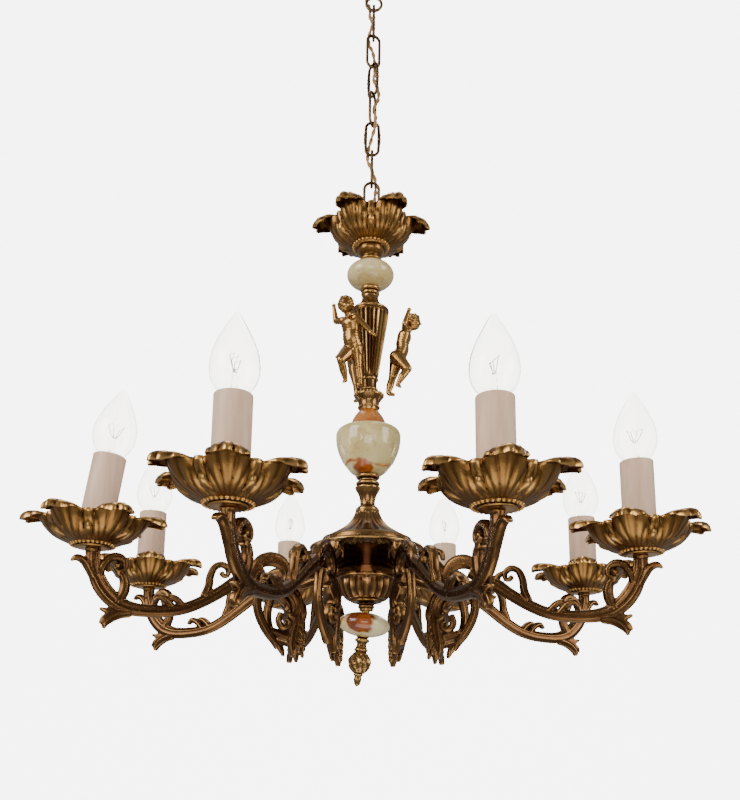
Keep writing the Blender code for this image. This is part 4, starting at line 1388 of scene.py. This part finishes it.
def hair():
    """Short curls over the crown and the back of the head."""
    curls = []
    golden_turn = math.pi * (3 - math.sqrt(5))
    for index in range(CURLS):
        height = 1 - 1.5 * (index + 0.5) / CURLS
        around = index * golden_turn
        flat = math.sqrt(1 - height**2)
        out = Vector((flat * math.cos(around), flat * math.sin(around), height))
        if out.x > 0.45 and out.z < 0.62:
            continue
        curls.append(ball(HEAD + Vector((0, 0, 1.2)) + out * 6.9, 1.6 + 0.2 * math.sin(index * 2.1)))
    return curls


body_mesh = join([figure()] + hair())
melt(body_mesh, 0.42, 0.6, 9, 0.45)
smooth(body_mesh, 80)
for number, turn in enumerate((-123, -3, 117), start=1):
    putto = copy_of(body_mesh)
    putto.data.transform(Matrix.Rotation(math.radians(turn), 4, "Z"))
    settle(putto, f"cast_figure_{number}", "chandelier", "brass", figure_brass, f"putto_{number}")
bpy.data.objects.remove(body_mesh)
print("figure faces:", len(putto.data.polygons))

# %% [markdown]
# ## Chain and ceiling hook
# A link is a torus pulled out into an oval. Every other link is cast with small leaves and beads on
# its sides, and the ones between are plain wire. LINK_TURNS are the planes in which the crown loop,
# the six links and the hook hang, in degrees.

# %% Links
LINK_WIRE = 1.5
LINK_LENGTH = 41.0
LINK_WIDTH = 16.0
LOOP_TOP = 504.0
LINK_GAP = 0.3
LINK_PITCH = LINK_LENGTH - 4 * LINK_WIRE - LINK_GAP
LINK_COUNT = 6
LINK_RADIUS = LINK_WIDTH / 2 - LINK_WIRE
LINK_TURNS = (0, 90, 180, 245, 310, 375, 450, 540)


def link_bottom(number):
    return LOOP_TOP - 4 * LINK_WIRE - LINK_GAP + (number - 1) * LINK_PITCH


def ring_of(radius, wire_radius, stretch):
    """An upright torus whose halves are moved apart, round its own middle."""
    bpy.ops.object.select_all(action="DESELECT")
    upright = (math.pi / 2, 0, 0)
    bpy.ops.mesh.primitive_torus_add(
        major_segments=48, minor_segments=16, major_radius=radius, minor_radius=wire_radius, rotation=upright
    )
    obj = bpy.context.object
    bpy.ops.object.transform_apply(rotation=True)
    for vertex in obj.data.vertices:
        vertex.co.z += math.copysign(stretch, vertex.co.z) if abs(vertex.co.z) > 1e-4 else 0.0
    return obj


def leaves_of_link():
    """Beads and leaf buds on both sides of a link."""
    buds = []
    for side in (-1, 1):
        buds.append(ball((side * (LINK_RADIUS + 0.5), 0, 0), 2.3, (0.9, 0.9, 1.3)))
        for up in (-1, 1):
            buds.append(ball((side * (LINK_RADIUS + 0.9), 0, up * 4.4), 1.7, (0.9, 1.0, 1.5)))
            buds.append(ball((side * (LINK_RADIUS + 0.3), 0, up * 8.4), 1.9, (0.8, 1.0, 1.7)))
            buds.append(ball((side * (LINK_RADIUS - 0.4), 0, up * 12.2), 1.75, (0.9, 1.0, 1.4)))
    return buds


for number in range(1, LINK_COUNT + 1):
    link = ring_of(LINK_RADIUS, LINK_WIRE, LINK_LENGTH / 2 - LINK_WIRE - LINK_RADIUS)
    if number % 2 == 0:
        link = join([link] + leaves_of_link())
        melt(link, 0.3, 0.5, 2, 0.3)
    smooth(link, 70)
    place_up = Matrix.Translation((0, 0, link_bottom(number) + LINK_LENGTH / 2))
    link.data.transform(place_up @ Matrix.Rotation(math.radians(LINK_TURNS[number]), 4, "Z"))
    settle(link, f"chain_oval_{number}", f"link_{number}", "dark_brass", chain_brass, f"chain_link_{number}")

hook_radius = 8.0
hook_middle = link_bottom(LINK_COUNT + 1) + LINK_WIRE + hook_radius
hook = ring_of(hook_radius, LINK_WIRE, 0.0)
hook_turn = Matrix.Rotation(math.radians(LINK_TURNS[-1]), 4, "Z")
hook.data.transform(Matrix.Translation((0, 0, hook_middle)) @ hook_turn)
shank_side = [(0, CEILING - 3.4), (2.5, CEILING - 3.4), (2.5, 751.6), (6, 751.4), (6, 748), (2.5, 745)]
shank_side += [(2.5, hook_middle + hook_radius), (0, hook_middle + hook_radius - 0.5)]
shank = lathe(shank_side, 24)
hook = join([hook, shank])
smooth(hook)
settle(hook, "ceiling_hook_ring", "ceiling_fitting", "dark_brass", chain_brass, "ceiling_hook")

ARCH_RADIUS = 7.2
ARCH_STEPS = 24
arch_middle = LOOP_TOP - LINK_WIRE - ARCH_RADIUS
arch = [(ARCH_RADIUS, 0, z) for z in (436, 460)]
for step in range(ARCH_STEPS + 1):
    angle = math.pi * step / ARCH_STEPS
    arch.append((ARCH_RADIUS * math.cos(angle), 0, arch_middle + ARCH_RADIUS * math.sin(angle)))
arch += [(-ARCH_RADIUS, 0, z) for z in (460, 436)]
bow = wire(arch, LINK_WIRE, rounds=4)
boss_side = bead(9.4, 438.4, 1.4) + [(9.2, 436), (8.4, 430)] + bead(9.0, 426.6, 1.4) + [(8.8, 424)]
boss_side += [(BORE, 424), (BORE, 434), (3.2, 434.2), (3.2, 440), (9.4, 439.9)]
loop = join([bow, lathe(boss_side, 40)])
smooth(loop)
settle(loop, "crown_loop_on_boss", "chandelier", "dark_brass", chain_brass, "crown_loop")
print("link faces:", len(link.data.polygons))

# %% [markdown]
# ## Ceiling fitting
# The canopy hides a steel plate and the terminal block. Its small hole lets the flex through beside
# the hook. The rod of the column is made here too, because it is steel like the plate; only the top
# of its bore is modelled, where the flex comes out.

# %% Canopy, plate and terminal block
FLEX_SIDES = (45, 135, 302.5, 367.5, 432.5, 502.5, 495)
canopy_out = [(47.4, CEILING - 0.3), (48, CEILING - 2), (48, CEILING - 4.4), (46.2, CEILING - 5.4)]
canopy_out += curve_through([(45.6, 780), (43, 774), (34.6, 767.4), (24, 762), (18.6, 757.4)], 5)
canopy_out += [(19.4, 756.2), (18.8, 754.8), (16.6, 754.2), (16, 752)]
canopy_in = [(3.2, 752), (3.2, 754), (15, 754.6), (17, 758.6), (23, 764), (33.4, 769.6), (41.8, 776)]
canopy_in += [(44.4, 782), (46.4, 785.4), (46.4, CEILING - 0.3), (47.4, CEILING - 0.3)]
canopy = lathe(canopy_out + canopy_in, 80)
bpy.ops.object.select_all(action="DESELECT")
bpy.ops.mesh.primitive_cylinder_add(vertices=32, radius=3.2, depth=8, location=(10, 0, 753))
hole = bpy.context.object
bpy.ops.object.transform_apply(location=True)
hole.data.transform(Matrix.Rotation(math.radians(FLEX_SIDES[-1]), 4, "Z"))
modify(canopy, "BOOLEAN", operation="DIFFERENCE", solver="EXACT", object=hole)
bpy.data.objects.remove(hole)
smooth(canopy)
settle(canopy, "ceiling_canopy_bell", "ceiling_fitting", "brass", golden_brass, "ceiling_canopy")

plate_side = [(0, CEILING), (29.4, CEILING), (30, CEILING - 0.6), (30, CEILING - 3), (0, CEILING - 3)]
plate = lathe(plate_side, 64)
smooth(plate)
settle(plate, "steel_ceiling_plate", "ceiling_fitting", "steel", zinc_steel, "ceiling_plate")

bpy.ops.object.select_all(action="DESELECT")
bpy.ops.mesh.primitive_cube_add(size=1.0, location=(-20, 0, 779), scale=(12, 22, 12))
block = bpy.context.object
bpy.ops.object.transform_apply(location=True, scale=True)
modify(block, "BEVEL", width=1.0, segments=3)
smooth(block)
settle(block, "terminal_block_body", "ceiling_fitting", "terminal", bakelite, "terminal_block")

ROD_RADIUS = 5
ROD_BORE = 3.2
BORE_SEEN = 60
low, high = (corner.z for corner in box_mm("central_rod"))
rod_side = [(0, low), (ROD_RADIUS, low), (ROD_RADIUS, high), (ROD_BORE, high)]
rod = lathe(rod_side + [(ROD_BORE, high - BORE_SEEN), (0, high - BORE_SEEN)], 32)
smooth(rod)
settle(rod, "threaded_rod", "chandelier", "steel", zinc_steel, "central_rod")
print("pieces:", len(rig.pieces()))

# %% [markdown]
# ## Flex
# Two braided cores, twisted together, come out of the rod and wind up through the chain. The flex
# bends at every contact between two links, and a piece can bend across one joint only, so it is cut
# at the middle of each link. The seven pieces meet end to end.

# %% Flex through the chain
FLEX_RADIUS = 2.0
CORE_RADIUS = 1.2
CORE_SIDES = 10
TWIST_MM = 17.0
PASS_RADIUS = 5.7
PASS_HALF = 5.5
BEND_HALF = 5
FLEX_BODIES = ["chandelier"] + [f"link_{number}" for number in range(1, LINK_COUNT + 1)]
FLEX_BODIES += ["ceiling_fitting"]
PIECES = len(FLEX_BODIES) - 1


def around(side, radius, height):
    """A place by its direction in degrees, its distance from the axis and its height."""
    angle = math.radians(side)
    return Vector((radius * math.cos(angle), radius * math.sin(angle), height))


# The flex passes beside each contact, swings over to its next side between two of them, and ends in
# the terminal block.
contacts = [LOOP_TOP - 2 * LINK_WIRE - LINK_GAP / 2 + index * LINK_PITCH for index in range(PIECES)]
route = [around(0, 0, 434.4), around(0, 0, 446), around(FLEX_SIDES[0], 2.0, 466)]
for index, (side, height) in enumerate(zip(FLEX_SIDES, contacts)):
    route += [around(side, PASS_RADIUS, height - PASS_HALF), around(side, PASS_RADIUS, height + PASS_HALF)]
    if index < PIECES - 1:
        turn = FLEX_SIDES[index + 1] - side
        near = 1.5 if abs(turn) < 120 else 0.8
        route.append(around(side + turn / 2, near, height + LINK_PITCH / 2))
last = FLEX_SIDES[-1]
route += [around(last, 11, 726), around(last, 10, 744), around(last, 10, 756)]
route += [Vector((-12, 8, 762)), Vector((-18, 5.5, 765.5)), Vector((-20, 4, 770)), Vector((-20, 4, 772.7))]
line = [Vector(point) for point in curve_through(route, 14)]
# Frames carried along the line without twisting, then twisted evenly by its length.
normal = Vector((1, 0, 0))
travelled = 0.0
frames = []
for index, point in enumerate(line):
    before, after = line[max(index - 1, 0)], line[min(index + 1, len(line) - 1)]
    along = (after - before).normalized()
    normal = (normal - along * normal.dot(along)).normalized()
    travelled += (point - line[index - 1]).length if index else 0.0
    twist = Matrix.Rotation(math.tau * travelled / TWIST_MM, 3, along)
    frames.append((point, twist @ normal, along))
cuts = [0]
for contact in contacts[:-1]:
    cuts.append(min(range(len(line)), key=lambda i: abs(line[i].z - (contact + LINK_PITCH / 2))))
cuts.append(len(line) - 1)


def core(piece_frames, side):
    """One core of the twisted pair, closed at both ends."""
    rings = []
    for point, out, along in piece_frames:
        other = along.cross(out)
        middle = point + out * side * (FLEX_RADIUS - CORE_RADIUS)
        angles = [math.tau * step / CORE_SIDES for step in range(CORE_SIDES)]
        rings.append([middle + (out * math.cos(a) + other * math.sin(a)) * CORE_RADIUS for a in angles])
    return tube(rings)


def in_metres(point):
    """A place in finial millimetres as metres under the ceiling."""
    return [point[0] * MM, point[1] * MM, (point[2] - CEILING) * MM]


for index in range(PIECES):
    part = frames[cuts[index] : cuts[index + 1] + 1]
    flex = join([core(part, 1), core(part, -1)])
    smooth(flex, 60)
    name_piece(flex, f"twisted_flex_{index + 1}", braid)
    low = in_metres((0, 0, contacts[index] - BEND_HALF))
    high = in_metres((0, 0, contacts[index] + BEND_HALF))
    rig.blend(flex, FLEX_BODIES[index], FLEX_BODIES[index + 1], low, high)
    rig.slot(flex, "flex")
    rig.replaces(flex, "flex_cable")
    middle = [in_metres(point) for point, _, _ in part]
    length = sum((Vector(b) - Vector(a)).length for a, b in zip(middle, middle[1:]))
    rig.cord(
        flex, exit=middle[0], length=length, diameter=2 * FLEX_RADIUS * MM, far_end="object",
        stiffness="limp", lay="hanging", path=middle,
    )
    print(flex.name, "length", round(length, 4), "m")

# %% [markdown]
# ## Sizes and the last line
# The box of the finished looks and the box of the working model are written to extents.json.

# %% Write the boxes and finish
with open("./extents.json", "w") as out:
    json.dump({"cad": cad_box, "visual": [list(corner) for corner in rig.bounds()]}, out)
